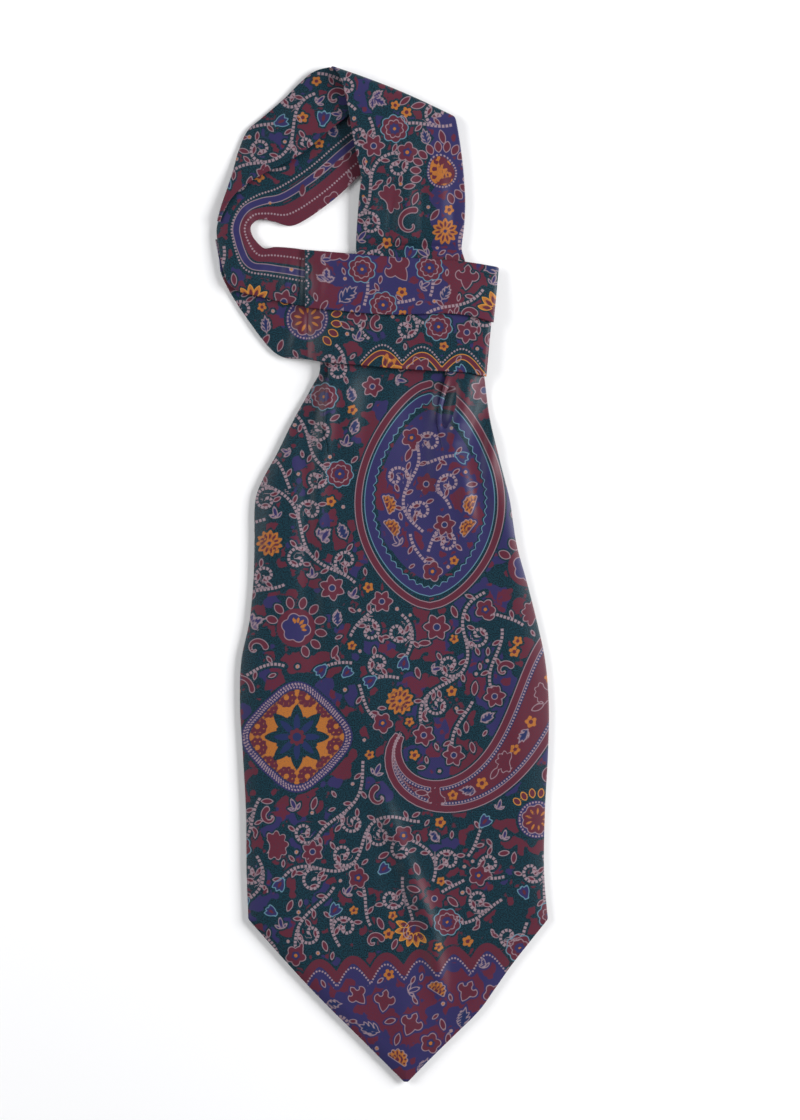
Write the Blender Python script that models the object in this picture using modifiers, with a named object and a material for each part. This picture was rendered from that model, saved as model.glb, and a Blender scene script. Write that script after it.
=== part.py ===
"""A self-tie silk cravat laid flat: a wide pointed blade, and a pleated neckband looped above it.

Millimetres in the tables, metres in the model. The cravat lies on z = 0 with its blade
pointing along -Y, and the origin is on the table under the middle of its outline.
Every stretch of cloth is a wall of one thickness on a surface between two edge lines.
"""
import bpy
import numpy as np
from collections import namedtuple
from math import pi

# ---- Driving dimensions, in millimetres ----
MM = 0.001
WALL = 1.2             # folded silk, pressed
GAP = 0.3              # between pieces that touch
EDGE_DROOP = 1.3       # how far the front blade's sides sink past the back blade
EDGE_REACH = 9.0       # over what width they sink
PLEAT_STEP = 0.9       # width of the steep flank at a pleat's fold
LAYER = 1.1            # one hidden layer of the back blade
TROUGH_ROOM = 0.5      # what the soft hollows need under the front blade
BLADE_Z = 2 * LAYER + GAP + TROUGH_ROOM + WALL / 2   # middle of the front blade's wall
BACK_WIDTH = 0.92      # the back blade's width beside the front blade's
BACK_NOSE = 3.2        # half the width of its point
BACK_STEP = 2.0        # its upper layer inside its lower one
BACK_TIP_INSET = 22.0  # its point above the front blade's point
BACK_TOP = 154.0       # where its throat ends, under the crossing band

# ---- The front blade's outline ----
BladeRow = namedtuple("BladeRow", "y left right")
BLADE = [BladeRow(*row) for row in (
    (118, -31.5, 50.2),
    (103, -31.0, 50.9),
    (95, -34.8, 51.7),
    (78, -44.2, 54.0),
    (61, -52.6, 58.0),
    (47, -60.2, 61.6),
    (36, -63.7, 64.2),
    (15, -64.0, 67.4),
    (-4, -64.6, 72.6),
    (-24, -66.6, 77.7),
    (-44, -70.7, 81.9),
    (-67, -71.3, 83.7),
    (-92, -69.8, 83.2),
    (-120, -68.3, 81.7),
    (-150, -68.0, 81.3),
    (-174, -67.1, 83.2),
)]
TIP = (12.0, -255.9)      # the blade's point
TIP_HALF_WIDTH = 0.7
TipRow = namedtuple("TipRow", "share left_bulge right_bulge")
TIP_ROWS = [TipRow(*row) for row in (   # share of the way to the point, and the bulge outwards
    (0.14, 0.9, 0.7),
    (0.28, 1.6, 1.6),
    (0.42, 2.0, 3.4),
    (0.56, 1.8, 5.0),
    (0.70, 1.1, 3.4),
    (0.85, 0.5, 1.4),
    (1.00, 0.0, 0.0),
)]

# ---- The pleats that fan from its throat ----
PleatRow = namedtuple("PleatRow", "y left_fold left_lift right_fold right_lift")
PLEATS = [PleatRow(*row) for row in (   # each fold's share of the width, and how high it stands
    (118, 0.070, 1.7, 0.820, 1.9),
    (103, 0.053, 1.7, 0.796, 1.9),
    (95, 0.084, 1.6, 0.772, 1.7),
    (85, 0.131, 1.3, 0.746, 1.1),
    (77, 0.157, 0.9, 0.738, 0.6),
    (64, 0.193, 0.3, 0.741, 0.1),
    (50, 0.240, 0.0, 0.750, 0.0),
    (-256, 0.250, 0.0, 0.750, 0.0),
)]
Trough = namedtuple("Trough", "x1 y1 x2 y2 width depth")
TROUGHS = [Trough(*row) for row in (    # soft hollows below the pleats
    (-31, 60, -33, 0, 7, 0.6),
    (38, 68, 46, 38, 8, 0.7),
    (2, -118, 27, -205, 12, -0.5),
)]

# ---- The neckband's stretches: two edge lines each, with the height of the wall's middle ----
Station = namedtuple("Station", "ax ay az bx by bz crown")
RISE = [Station(*row) for row in (      # a is the left edge, b the right; last three rows roll under
    (-24.0, 119.0, 3.6, 48.0, 119.0, 3.6, 0.0),
    (-15.0, 138.0, 3.6, 43.5, 138.0, 3.6, 0.0),
    (-12.3, 152.0, 3.6, 41.8, 151.0, 3.6, 0.0),
    (-12.3, 160.8, 3.6, 41.4, 157.8, 3.6, 0.0),
    (-12.8, 165.0, 3.3, 39.7, 164.5, 3.3, 0.3),
    (-12.3, 176.0, 3.8, 40.9, 175.0, 3.4, 0.6),
    (-11.2, 190.0, 4.8, 41.5, 187.0, 3.4, 0.6),
    (-10.4, 201.0, 5.4, 41.0, 198.0, 3.5, 0.6),
    (-12.4, 211.0, 6.0, 40.1, 208.0, 3.6, 0.6),
    (-15.0, 224.0, 6.6, 39.0, 216.5, 3.8, 0.5),
    (-17.4, 238.0, 7.3, 38.0, 223.0, 4.1, 0.4),
    (-20.0, 248.5, 7.8, 37.2, 227.5, 4.2, 0.2),
    (-22.2, 252.9, 7.3, 36.6, 229.8, 3.8, 0.0),
    (-25.0, 255.7, 4.6, 35.5, 231.0, 2.6, 0.0),
    (-26.6, 252.9, 1.0, 34.6, 229.9, 1.0, 0.0),
)]
RISE_BOW = 1.3     # how far the rolled fold bows out between its ends
BEND = [Station(*row) for row in (      # a is the outer edge, b the edge of the neck loop
    (-12.5, 242.6, 0.9, 20.0, 228.5, 0.9, 0.0),
    (-22.0, 236.4, 0.9, 4.0, 214.5, 1.0, 0.2),
    (-33.0, 228.0, 0.9, -11.2, 201.7, 1.3, 0.4),
    (-44.5, 218.5, 0.9, -26.3, 188.2, 1.6, 0.4),
    (-57.5, 210.0, 0.9, -44.0, 176.7, 1.8, 0.4),
    (-68.3, 202.0, 1.0, -54.5, 178.2, 2.0, 0.3),
    (-76.2, 193.0, 1.3, -61.5, 179.4, 2.2, 0.4),
    (-80.8, 183.6, 2.0, -65.6, 177.2, 2.4, 0.8),
    (-83.1, 174.0, 2.8, -66.8, 174.3, 2.5, 1.0),
    (-82.2, 165.8, 3.2, -65.8, 170.6, 2.6, 1.0),
    (-80.5, 156.5, 3.4, -64.2, 168.2, 2.7, 0.9),
    (-77.7, 147.7, 3.7, -62.0, 165.8, 2.8, 0.8),
    (-71.8, 142.9, 4.0, -59.2, 164.0, 2.8, 0.8),
    (-62.0, 140.4, 4.3, -54.0, 164.7, 2.9, 0.7),
    (-50.0, 137.5, 4.9, -46.0, 164.2, 3.1, 0.5),
    (-37.9, 135.1, 6.2, -38.2, 163.1, 3.6, 0.2),
)]
DIAGONAL = [Station(*row) for row in (  # a is the outer edge, b the fold that lies on the bend
    (-30.0, 253.7, 2.6, -8.0, 238.5, 3.4, 0.0),
    (-39.9, 247.5, 1.6, -15.9, 232.2, 3.5, 0.4),
    (-50.3, 238.8, 1.2, -27.4, 223.9, 3.8, 0.5),
    (-60.0, 230.4, 1.1, -39.4, 213.6, 4.1, 0.5),
    (-67.6, 223.7, 1.1, -50.0, 207.3, 4.1, 0.5),
    (-72.0, 214.0, 1.3, -59.1, 202.7, 4.0, 0.4),
    (-74.7, 204.5, 2.2, -67.5, 197.8, 3.8, 0.3),
    (-77.6, 195.0, 3.1, -74.0, 192.6, 3.6, 0.1),
    (-80.7, 186.0, 3.6, -79.3, 185.4, 3.7, 0.0),
    (-82.8, 178.0, 4.4, -82.1, 177.8, 4.4, 0.0),
)]
LOWER = [Station(*row) for row in (     # a is the outline, b the edge hidden under the upper pleat
    (-83.8, 169.0, 1.0, -76.0, 170.0, 1.0, 0.0),
    (-82.1, 160.0, 1.1, -72.0, 163.0, 1.1, 0.0),
    (-80.6, 151.2, 1.2, -69.0, 156.0, 1.2, 0.0),
    (-75.0, 140.1, 1.3, -65.0, 150.5, 1.5, 0.2),
    (-66.8, 127.7, 1.4, -58.0, 147.8, 1.7, 0.3),
    (-57.2, 115.2, 1.6, -50.0, 146.0, 2.1, 0.3),
    (-49.5, 109.8, 2.2, -42.0, 144.0, 2.9, 0.2),
    (-38.5, 108.8, 4.6, -33.0, 142.5, 4.2, 0.0),
    (-27.0, 107.0, 7.2, -22.0, 141.0, 6.3, 0.0),
    (-10.0, 105.6, 7.4, -8.0, 139.9, 6.3, 0.0),
    (8.0, 104.0, 7.4, 8.0, 139.4, 6.3, 0.0),
    (26.0, 102.9, 7.4, 28.0, 139.6, 6.3, 0.0),
    (41.0, 102.1, 7.4, 44.0, 138.8, 6.3, 0.0),
    (50.4, 100.4, 7.2, 53.8, 136.8, 6.1, 0.0),
    (52.3, 100.0, 5.8, 55.6, 136.4, 4.8, 0.0),
)]
UPPER = [Station(*row) for row in (     # a is the pleat's fold, b the edge of the neck loop
    (-37.4, 134.9, 6.4, -37.7, 163.0, 3.6, 0.2),
    (-25.0, 133.4, 8.5, -24.3, 162.0, 4.6, 0.3),
    (-10.0, 131.9, 9.0, -8.0, 160.6, 5.4, 0.3),
    (5.0, 131.1, 8.8, 7.0, 159.5, 5.6, 0.3),
    (20.0, 131.4, 8.8, 22.0, 158.6, 5.6, 0.3),
    (35.0, 131.6, 8.8, 36.0, 157.8, 5.6, 0.3),
    (46.0, 130.0, 8.7, 47.0, 156.4, 5.5, 0.2),
    (54.3, 127.6, 8.4, 56.8, 154.7, 5.0, 0.0),
    (56.0, 127.2, 7.9, 58.5, 154.2, 3.6, 0.0),
)]


# ---- Shapes ----

def through(rows, count):
    """A smooth curve through the rows: a Catmull-Rom spline read at `count` even steps."""
    rows = np.asarray(rows, dtype=float)
    at = np.linspace(0, len(rows) - 1, count)
    row = np.minimum(at.astype(int), len(rows) - 2)
    t = (at - row)[:, None]
    start, end = rows[row], rows[row + 1]
    before = rows[np.maximum(row - 1, 0)]
    after = rows[np.minimum(row + 2, len(rows) - 1)]
    leaving = (end - before) / 2
    arriving = (after - start) / 2
    return (start * (2 * t**3 - 3 * t**2 + 1) + leaving * (t**3 - 2 * t**2 + t)
            + end * (3 * t**2 - 2 * t**3) + arriving * (t**3 - t**2))


def between_edges(stations, along, across):
    """A grid of points between the two edge lines, with each station's crown raised in its middle."""
    rows = through(stations, along)
    v = np.linspace(0, 1, across)[None, :, None]
    first = rows[:, None, 0:3]
    second = rows[:, None, 3:6]
    grid = first * (1 - v) + second * v
    grid[:, :, 2] += rows[:, 6:7] * 4 * v[:, :, 0] * (1 - v[:, :, 0])
    return grid


def blade_outline(rows_between):
    """Rows of y, left and right from the throat down to the point."""
    side = through(BLADE, rows_between)
    corner = side[-1]
    share = np.array([row.share for row in TIP_ROWS])
    left = corner[1] + (TIP[0] - TIP_HALF_WIDTH - corner[1]) * share
    right = corner[2] + (TIP[0] + TIP_HALF_WIDTH - corner[2]) * share
    y = corner[0] + (TIP[1] - corner[0]) * share
    left -= [row.left_bulge for row in TIP_ROWS]
    right += [row.right_bulge for row in TIP_ROWS]
    return np.vstack([side, np.column_stack([y, left, right])])


def pleat_at(y):
    """The folds' shares of the width and their lifts, read down the blade."""
    table = np.array(PLEATS, dtype=float)[::-1]
    return [np.interp(y, table[:, 0], table[:, column]) for column in range(1, 5)]


def trough_depth(x, y):
    """The soft hollows: each falls off across its line as a bell curve."""
    depth = np.zeros_like(x)
    for trough in TROUGHS:
        run = np.array([trough.x2 - trough.x1, trough.y2 - trough.y1])
        share = ((x - trough.x1) * run[0] + (y - trough.y1) * run[1]) / (run @ run)
        share = np.clip(share, 0, 1)
        off_x = x - trough.x1 - share * run[0]
        off_y = y - trough.y1 - share * run[1]
        depth += trough.depth * np.exp(-(off_x**2 + off_y**2) / trough.width**2)
    return depth


def front_blade_grid():
    """The blade's rows, with a steep flank of PLEAT_STEP at each pleat's fold."""
    outline = blade_outline(24)
    y, left, right = outline.T
    width = right - left
    left_fold, left_lift, right_fold, right_lift = pleat_at(y)
    flank = PLEAT_STEP / np.maximum(width, 12 * PLEAT_STEP)
    rim = np.minimum(EDGE_REACH / np.maximum(width, 1), 0.5 * left_fold)
    stops = [0 * y, rim, left_fold - flank / 2, left_fold + flank / 2,
             right_fold - flank / 2, right_fold + flank / 2, 1 - rim, 0 * y + 1]
    lifts = [0 * y, 0 * y, 0 * y, left_lift, 0 * y, right_lift, 0.4 * right_lift, 0.4 * right_lift]
    steps = [2, 2, 1, 7, 1, 3, 2]
    columns = []
    heights = []
    for part, count in enumerate(steps):
        for step in range(count):
            t = step / count
            columns.append(stops[part] * (1 - t) + stops[part + 1] * t)
            heights.append(lifts[part] * (1 - t) + lifts[part + 1] * t)
    columns.append(stops[-1])
    heights.append(lifts[-1])
    share = np.array(columns).T
    x = left[:, None] + share * width[:, None]
    rows_y = np.repeat(y[:, None], share.shape[1], axis=1)
    from_edge = np.minimum(share, 1 - share) * width[:, None]
    sink = EDGE_DROOP * np.clip(1 - from_edge / EDGE_REACH, 0, 1)**2
    sink *= np.clip((BLADE[1].y - rows_y) / EDGE_REACH, 0, 1)
    z = BLADE_Z + np.array(heights).T - sink - trough_depth(x, rows_y)
    return np.dstack([x, rows_y, z])


def grid_faces(rows, columns):
    """The four corners of every cell of a grid of rows by columns, seen from above the first row's left."""
    index = np.arange(rows * columns).reshape(rows, columns)
    corners = (index[:-1, :-1], index[1:, :-1], index[1:, 1:], index[:-1, 1:])
    return np.stack(corners, axis=-1).reshape(-1, 4)


def silk(name, colour):
    """Pressed silk: a low sheen on a deep dyed colour."""
    material = bpy.data.materials.new(name)
    material.use_nodes = True
    surface = material.node_tree.nodes["Principled BSDF"]
    surface.inputs["Base Color"].default_value = (*colour, 1)
    surface.inputs["Roughness"].default_value = 0.45
    surface.inputs["Metallic"].default_value = 0.0
    return material


def add_piece(name, points, faces, colour):
    """A named mesh object in the cravat's collection, from points in millimetres."""
    mesh = bpy.data.meshes.new(name)
    mesh.from_pydata((points.reshape(-1, 3) * MM).tolist(), [], faces.tolist())
    mesh.shade_smooth()
    piece = bpy.data.objects.new(name, mesh)
    piece.data.materials.append(silk("silk_" + name, colour))
    cravat.objects.link(piece)
    return piece


def cloth_wall(name, grid, colour, flip=False):
    """An open surface on the grid's points, thickened evenly to both sides into a closed wall."""
    faces = grid_faces(*grid.shape[:2])
    if flip:
        faces = faces[:, ::-1]
    piece = add_piece(name, grid, faces, colour)
    thicken = piece.modifiers.new("wall", "SOLIDIFY")
    thicken.thickness = WALL * MM
    thicken.offset = 0.0
    return piece


def back_blade(colour):
    """The hidden layers as one solid: a stepped section carried down the narrowed outline."""
    outline = blade_outline(20)
    y, left, right = outline.T
    top = y[0]
    last = TIP[1] + BACK_TIP_INSET
    y = np.interp(y, [last - BACK_TIP_INSET, top], [last, top])
    middle = (left + right) / 2
    half = np.maximum(BACK_WIDTH * (right - left) / 2, BACK_NOSE)
    throat = [[BACK_TOP, middle[0], half[0] * 0.72], [BACK_TOP - 14, middle[0], half[0] * 0.86]]
    rows = np.vstack([throat, np.column_stack([y, middle, half])])
    section = np.array([(-1, 0, 0.0), (-1, 0, 0.6 * LAYER), (-1, 0.3, LAYER), (-1, 1, LAYER),
                        (-1, 1, 1.6 * LAYER), (-1, 1.3, 2 * LAYER),
                        (1, -1.3, 2 * LAYER), (1, -1, 1.6 * LAYER), (1, -1, LAYER),
                        (1, -0.3, LAYER), (1, 0, 0.6 * LAYER), (1, 0, 0.0)])
    x = rows[:, 1:2] + section[:, 0] * rows[:, 2:3] + section[:, 1] * BACK_STEP
    z = np.repeat(section[None, :, 2], len(rows), axis=0)
    grid = np.dstack([x, np.repeat(rows[:, 0:1], len(section), axis=1), z])
    count, ring = grid.shape[:2]
    wrapped = np.arange(count * ring).reshape(count, ring)
    wrapped = np.hstack([wrapped, wrapped[:, :1]])
    corners = (wrapped[:-1, :-1], wrapped[1:, :-1], wrapped[1:, 1:], wrapped[:-1, 1:])
    faces = np.stack(corners, axis=-1).reshape(-1, 4).tolist()
    faces.append(list(range(ring)))
    faces.append(list(range(count * ring - 1, (count - 1) * ring - 1, -1)))
    return add_piece("back_blade", grid, np.array(faces, dtype=object), colour)


def neck_rise(colour):
    """The stretch up from the throat, with its rolled top fold bowed a little outwards."""
    grid = between_edges(RISE, 34, 9)
    v = np.linspace(0, 1, 9)
    rolled = np.clip(np.linspace(0, len(RISE) - 1, 34) - (len(RISE) - 5), 0, 1)
    bow = RISE_BOW * np.outer(rolled, np.sin(pi * v))
    grid[:, :, 0] += 0.37 * bow
    grid[:, :, 1] += 0.93 * bow
    return cloth_wall("neck_rise", grid, colour, flip=True)


# ---- Build ----
for old in list(bpy.data.objects):
    bpy.data.objects.remove(old, do_unlink=True)
cravat = bpy.data.collections.new("silk_cravat")
bpy.context.scene.collection.children.link(cravat)

TEAL = (0.006, 0.058, 0.073)
PURPLE = (0.045, 0.027, 0.130)
MAROON = (0.150, 0.018, 0.035)

back_blade(TEAL)
cloth_wall("front_blade", front_blade_grid(), TEAL)
neck_rise(PURPLE)
cloth_wall("neck_bend", between_edges(BEND, 44, 8), MAROON)
cloth_wall("diagonal_pleat", between_edges(DIAGONAL, 22, 5), TEAL)
cloth_wall("crossband_lower", between_edges(LOWER, 36, 6), TEAL)
cloth_wall("crossband_upper", between_edges(UPPER, 22, 6), PURPLE)
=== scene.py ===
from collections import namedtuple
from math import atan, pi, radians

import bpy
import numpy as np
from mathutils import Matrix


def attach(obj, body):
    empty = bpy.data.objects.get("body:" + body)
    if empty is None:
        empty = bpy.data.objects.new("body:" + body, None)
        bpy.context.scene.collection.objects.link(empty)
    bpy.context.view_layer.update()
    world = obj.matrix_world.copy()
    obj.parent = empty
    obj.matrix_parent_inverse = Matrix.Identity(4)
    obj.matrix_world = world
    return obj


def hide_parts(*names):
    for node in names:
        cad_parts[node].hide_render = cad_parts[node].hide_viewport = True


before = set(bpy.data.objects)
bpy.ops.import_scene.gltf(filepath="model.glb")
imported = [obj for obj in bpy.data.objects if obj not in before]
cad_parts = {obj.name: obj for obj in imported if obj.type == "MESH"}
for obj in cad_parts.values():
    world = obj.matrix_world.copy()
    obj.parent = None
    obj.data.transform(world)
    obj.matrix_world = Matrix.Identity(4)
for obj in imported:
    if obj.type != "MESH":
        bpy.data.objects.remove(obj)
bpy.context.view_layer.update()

# %% [markdown]
# # A printed silk cravat, laid flat
#
# The real cravat is one long strip of silk twill: a wide pointed blade, a second blade hidden
# under it, and a neckband pleated to a third of the width. Here it is looped above its throat
# and crossed over it, as it would be shown in a shop. The frame holds seven plain walls of cloth.
# This script lays a thin printed shell on the form of each, so nothing changes its size or place.

MM = 0.001


def linear(hex_colour):
    """An sRGB hex value as linear red, green, blue and alpha."""
    parts = np.array([int(hex_colour[i:i + 2], 16) / 255 for i in (1, 3, 5)])
    low = parts / 12.92
    high = ((parts + 0.055) / 1.055)**2.4
    return (*np.where(parts <= 0.04045, low, high), 1.0)


def add_node(tree, kind, links=None, **settings):
    """A node with its settings; links maps an input's name or number to a value or to another socket."""
    node = tree.nodes.new(kind)
    for name, value in settings.items():
        setattr(node, name, value)
    for name, value in (links or {}).items():
        if isinstance(value, bpy.types.NodeSocket):
            tree.links.new(value, node.inputs[name])
        else:
            node.inputs[name].default_value = value
    return node


# %% [markdown]
# ## Camera, light and table
#
# The cravat lies on a pale table and is looked at from straight above. A long lens from high up
# keeps its edges parallel. The main soft box stands low at the right and a weaker one low at the
# left, so each fold is shaded across its width. No lamp is overhead, where flat silk would
# mirror it into the lens and the inks would look washed out. A faint third one is at the foot.

# %% Camera
VIEW_CENTRE = (9.0 * MM, 7.2 * MM)
VIEW_HEIGHT = 0.5656          # of the table that the frame takes in, top to bottom
CAMERA_UP = 2.6
camera = bpy.data.objects.new("camera", bpy.data.cameras.new("camera"))
bpy.context.scene.collection.objects.link(camera)
camera.data.sensor_fit = "VERTICAL"
camera.data.angle = 2 * atan(VIEW_HEIGHT / 2 / CAMERA_UP)
camera.location = (*VIEW_CENTRE, CAMERA_UP)
bpy.context.scene.camera = camera
bpy.context.scene.view_settings.view_transform = "Standard"     # deep dyes keep their depth

# %% Table and lights
TABLE = linear("#FCFCFD")


def table_material():
    """Smooth matt paper: it takes soft shadows and shows nothing else."""
    material = bpy.data.materials.new("matt white paper")
    material.use_nodes = True
    surface = material.node_tree.nodes["Principled BSDF"]
    surface.inputs["Base Color"].default_value = TABLE
    surface.inputs["Roughness"].default_value = 0.9
    surface.inputs["Specular IOR Level"].default_value = 0.2
    return material


bpy.ops.mesh.primitive_plane_add(size=6)
table = bpy.context.object
table.name = "table"
table.location.z = -0.0002
table.data.materials.append(table_material())

Lamp = namedtuple("Lamp", "name x y z size power")
LAMPS = [Lamp(*row) for row in (
    ("key_softbox", 1.42, 0.30, 0.84, 0.95, 40.0),
    ("side_softbox", -1.30, 0.30, 0.84, 0.95, 16.0),
    ("foot_softbox", -0.3, -1.8, 1.2, 1.2, 3.0),
)]
for lamp in LAMPS:
    light = bpy.data.lights.new(lamp.name, "AREA")
    light.size = lamp.size
    light.energy = lamp.power
    holder = bpy.data.objects.new(lamp.name, light)
    holder.location = (lamp.x, lamp.y, lamp.z)
    aim = -holder.location
    holder.rotation_euler = aim.to_track_quat("-Z", "Y").to_euler()
    bpy.context.scene.collection.objects.link(holder)

world = bpy.data.worlds.new("studio")
world.use_nodes = True
world.node_tree.nodes["Background"].inputs["Color"].default_value = linear("#F2F4F8")
world.node_tree.nodes["Background"].inputs["Strength"].default_value = 0.16
bpy.context.scene.world = world

# %% [markdown]
# ## Cloth as a surface between two edges
#
# A strip of cloth could be draped by simulation, but pressed silk that has been folded by hand
# keeps the folds it was given. So each stretch is drawn the way it was laid: a table holds a few
# stations along it, with a point on each edge and its height, and a smooth curve runs through them.

# %% Curves and grids
WALL = 0.9        # thickness of the folded silk, in mm


def through(rows, count):
    """A Catmull-Rom spline through the rows: cubic pieces whose slope at a row joins its neighbours."""
    rows = np.asarray(rows, dtype=float)
    at = np.linspace(0, len(rows) - 1, count)
    row = np.minimum(at.astype(int), len(rows) - 2)
    t = (at - row)[:, None]
    start, end = rows[row], rows[row + 1]
    leaving = (end - rows[np.maximum(row - 1, 0)]) / 2
    arriving = (rows[np.minimum(row + 2, len(rows) - 1)] - start) / 2
    return (start * (2 * t**3 - 3 * t**2 + 1) + leaving * (t**3 - 2 * t**2 + t)
            + end * (3 * t**2 - 2 * t**3) + arriving * (t**3 - t**2))


def smooth_step(value, low, high):
    """0 below low, 1 above high, and 3t^2 - 2t^3 between."""
    t = np.clip((value - low) / (high - low), 0, 1)
    return t * t * (3 - 2 * t)


def between_edges(stations, along, across):
    """P(u, v) = (1 - v) A(u) + v B(u), raised by each station's crown times 4v(1 - v)."""
    rows = through(stations, along)
    v = np.linspace(0, 1, across)[None, :, None]
    grid = rows[:, None, 0:3] * (1 - v) + rows[:, None, 3:6] * v
    grid[:, :, 2] += rows[:, 6:7] * 4 * v[:, :, 0] * (1 - v[:, :, 0])
    return grid


Crease = namedtuple("Crease", "x1 y1 x2 y2 width height")


def creases(x, y, table):
    """Soft ridges and troughs: height times a bell curve across each line, fading at its ends."""
    total = np.zeros_like(x)
    for crease in table:
        run = np.array([crease.x2 - crease.x1, crease.y2 - crease.y1])
        share = ((x - crease.x1) * run[0] + (y - crease.y1) * run[1]) / (run @ run)
        held = np.clip(share, 0, 1)
        off = np.hypot(x - crease.x1 - held * run[0], y - crease.y1 - held * run[1])
        fade = np.sin(pi * np.clip(held, 0.06, 0.94))**0.7
        total += crease.height * fade * np.exp(-(off / crease.width)**2)
    return total


# %% [markdown]
# ## A shell round the surface
#
# Folded silk has a soft rounded edge, not a cut one. The shell takes the surface, moves it out
# along its normals on both sides, and joins the two along each edge with half a circle.
# The side that shows keeps every column, because the print is painted on its points.

# %% Shell
RIM_ANGLES = np.radians([35, 90, 145])


def normals_of(middle):
    """The cross product of the two ways along the surface, turned to face up on the whole."""
    along = np.gradient(middle, axis=0)
    across = np.gradient(middle, axis=1)
    normal = np.cross(across, along)
    length = np.linalg.norm(normal, axis=2, keepdims=True)
    normal = normal / np.maximum(length, 1e-9)
    return normal * (1 if np.median(normal[:, :, 2]) >= 0 else -1)


def rim(middle, normal, column, outward, half):
    """Half a circle from the upper side to the lower, round one edge of the surface."""
    edge = middle[:, column]
    out = outward / np.maximum(np.linalg.norm(outward, axis=1, keepdims=True), 1e-9)
    turns = [edge + half * (np.cos(a) * normal[:, column] + np.sin(a) * out) for a in RIM_ANGLES]
    return np.stack(turns, axis=1)


def shell(middle, half=WALL / 2, coarse=4):
    """A closed loop of points for every row, and for each point of the loop the column it came from."""
    normal = normals_of(middle)
    under = np.unique(np.r_[np.arange(0, middle.shape[1], coarse), middle.shape[1] - 1])[::-1]
    last = middle.shape[1] - 1
    right = rim(middle, normal, last, middle[:, last] - middle[:, last - 1], half)
    left = rim(middle, normal, 0, middle[:, 0] - middle[:, 1], half)
    upper = middle + half * normal
    lower = (middle - half * normal)[:, under]
    loop = np.concatenate([upper, right, lower, left[:, ::-1]], axis=1)
    count = len(RIM_ANGLES)
    columns = np.r_[np.arange(last + 1), np.full(count, last), under, np.zeros(count, int)]
    return loop, columns


def loop_faces(rows, ring):
    """Four corners for every cell of a grid that closes on itself across."""
    index = np.arange(rows * ring).reshape(rows, ring)
    index = np.hstack([index, index[:, :1]])
    cells = (index[:-1, :-1], index[:-1, 1:], index[1:, 1:], index[1:, :-1])
    return np.stack(cells, axis=-1).reshape(-1, 4)


def mesh_from_loops(name, loop):
    """A mesh of the loops with a flat cap at each end, its faces pointing outwards."""
    rows, ring = loop.shape[:2]
    quads = loop_faces(rows, ring)
    caps = [list(range(ring))[::-1], list(range((rows - 1) * ring, rows * ring))]
    points = loop.reshape(-1, 3) * MM
    corners = points[quads]
    face_normal = np.cross(corners[:, 2] - corners[:, 0], corners[:, 3] - corners[:, 1])
    outward = np.sum(face_normal * corners[:, 0])      # six times the volume, by the divergence rule
    if outward < 0:
        quads = quads[:, ::-1]
        caps = [cap[::-1] for cap in caps]
    mesh = bpy.data.meshes.new(name)
    mesh.from_pydata(points.tolist(), [], quads.tolist() + caps)
    mesh.shade_smooth()
    print(name, len(points), "points", 2 * len(quads), "triangles")
    return mesh

# %% [markdown]
# ## The stretches of the neckband
#
# Each stretch is a strip between its two edge lines. The last three stations of the rise carry it
# over a soft roll and under itself, which is the fold at the top of the loop. The bend swings
# round under that roll, the diagonal pleat is folded over the bend, and the two crossbands lie
# over the throat and tuck under at the right.

# %% The neckband's tables
Station = namedtuple("Station", "ax ay az bx by bz crown")
RISE = [Station(*row) for row in (      # a is the left edge, b the right; last three rows roll under
    (-24.0, 119.0, 3.6, 48.0, 119.0, 3.6, 0.0),
    (-15.0, 138.0, 3.6, 43.5, 138.0, 3.6, 0.0),
    (-12.3, 152.0, 3.6, 41.8, 151.0, 3.6, 0.0),
    (-12.3, 160.8, 3.6, 41.4, 157.8, 3.6, 0.0),
    (-12.8, 165.0, 3.3, 39.7, 164.5, 3.3, 0.3),
    (-12.3, 176.0, 3.8, 40.9, 175.0, 3.4, 0.6),
    (-11.2, 190.0, 4.8, 41.5, 187.0, 3.4, 0.6),
    (-10.4, 201.0, 5.4, 41.0, 198.0, 3.5, 0.6),
    (-12.4, 211.0, 6.0, 40.1, 208.0, 3.6, 0.6),
    (-15.0, 224.0, 6.6, 39.0, 216.5, 3.8, 0.5),
    (-17.4, 238.0, 7.3, 38.0, 223.0, 4.1, 0.4),
    (-20.0, 248.5, 7.8, 37.2, 227.5, 4.2, 0.2),
    (-22.2, 252.9, 7.3, 36.6, 229.8, 3.8, 0.0),
    (-25.0, 255.7, 4.6, 35.5, 231.0, 2.6, 0.0),
    (-26.6, 252.9, 1.0, 34.6, 229.9, 1.0, 0.0),
)]
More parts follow.
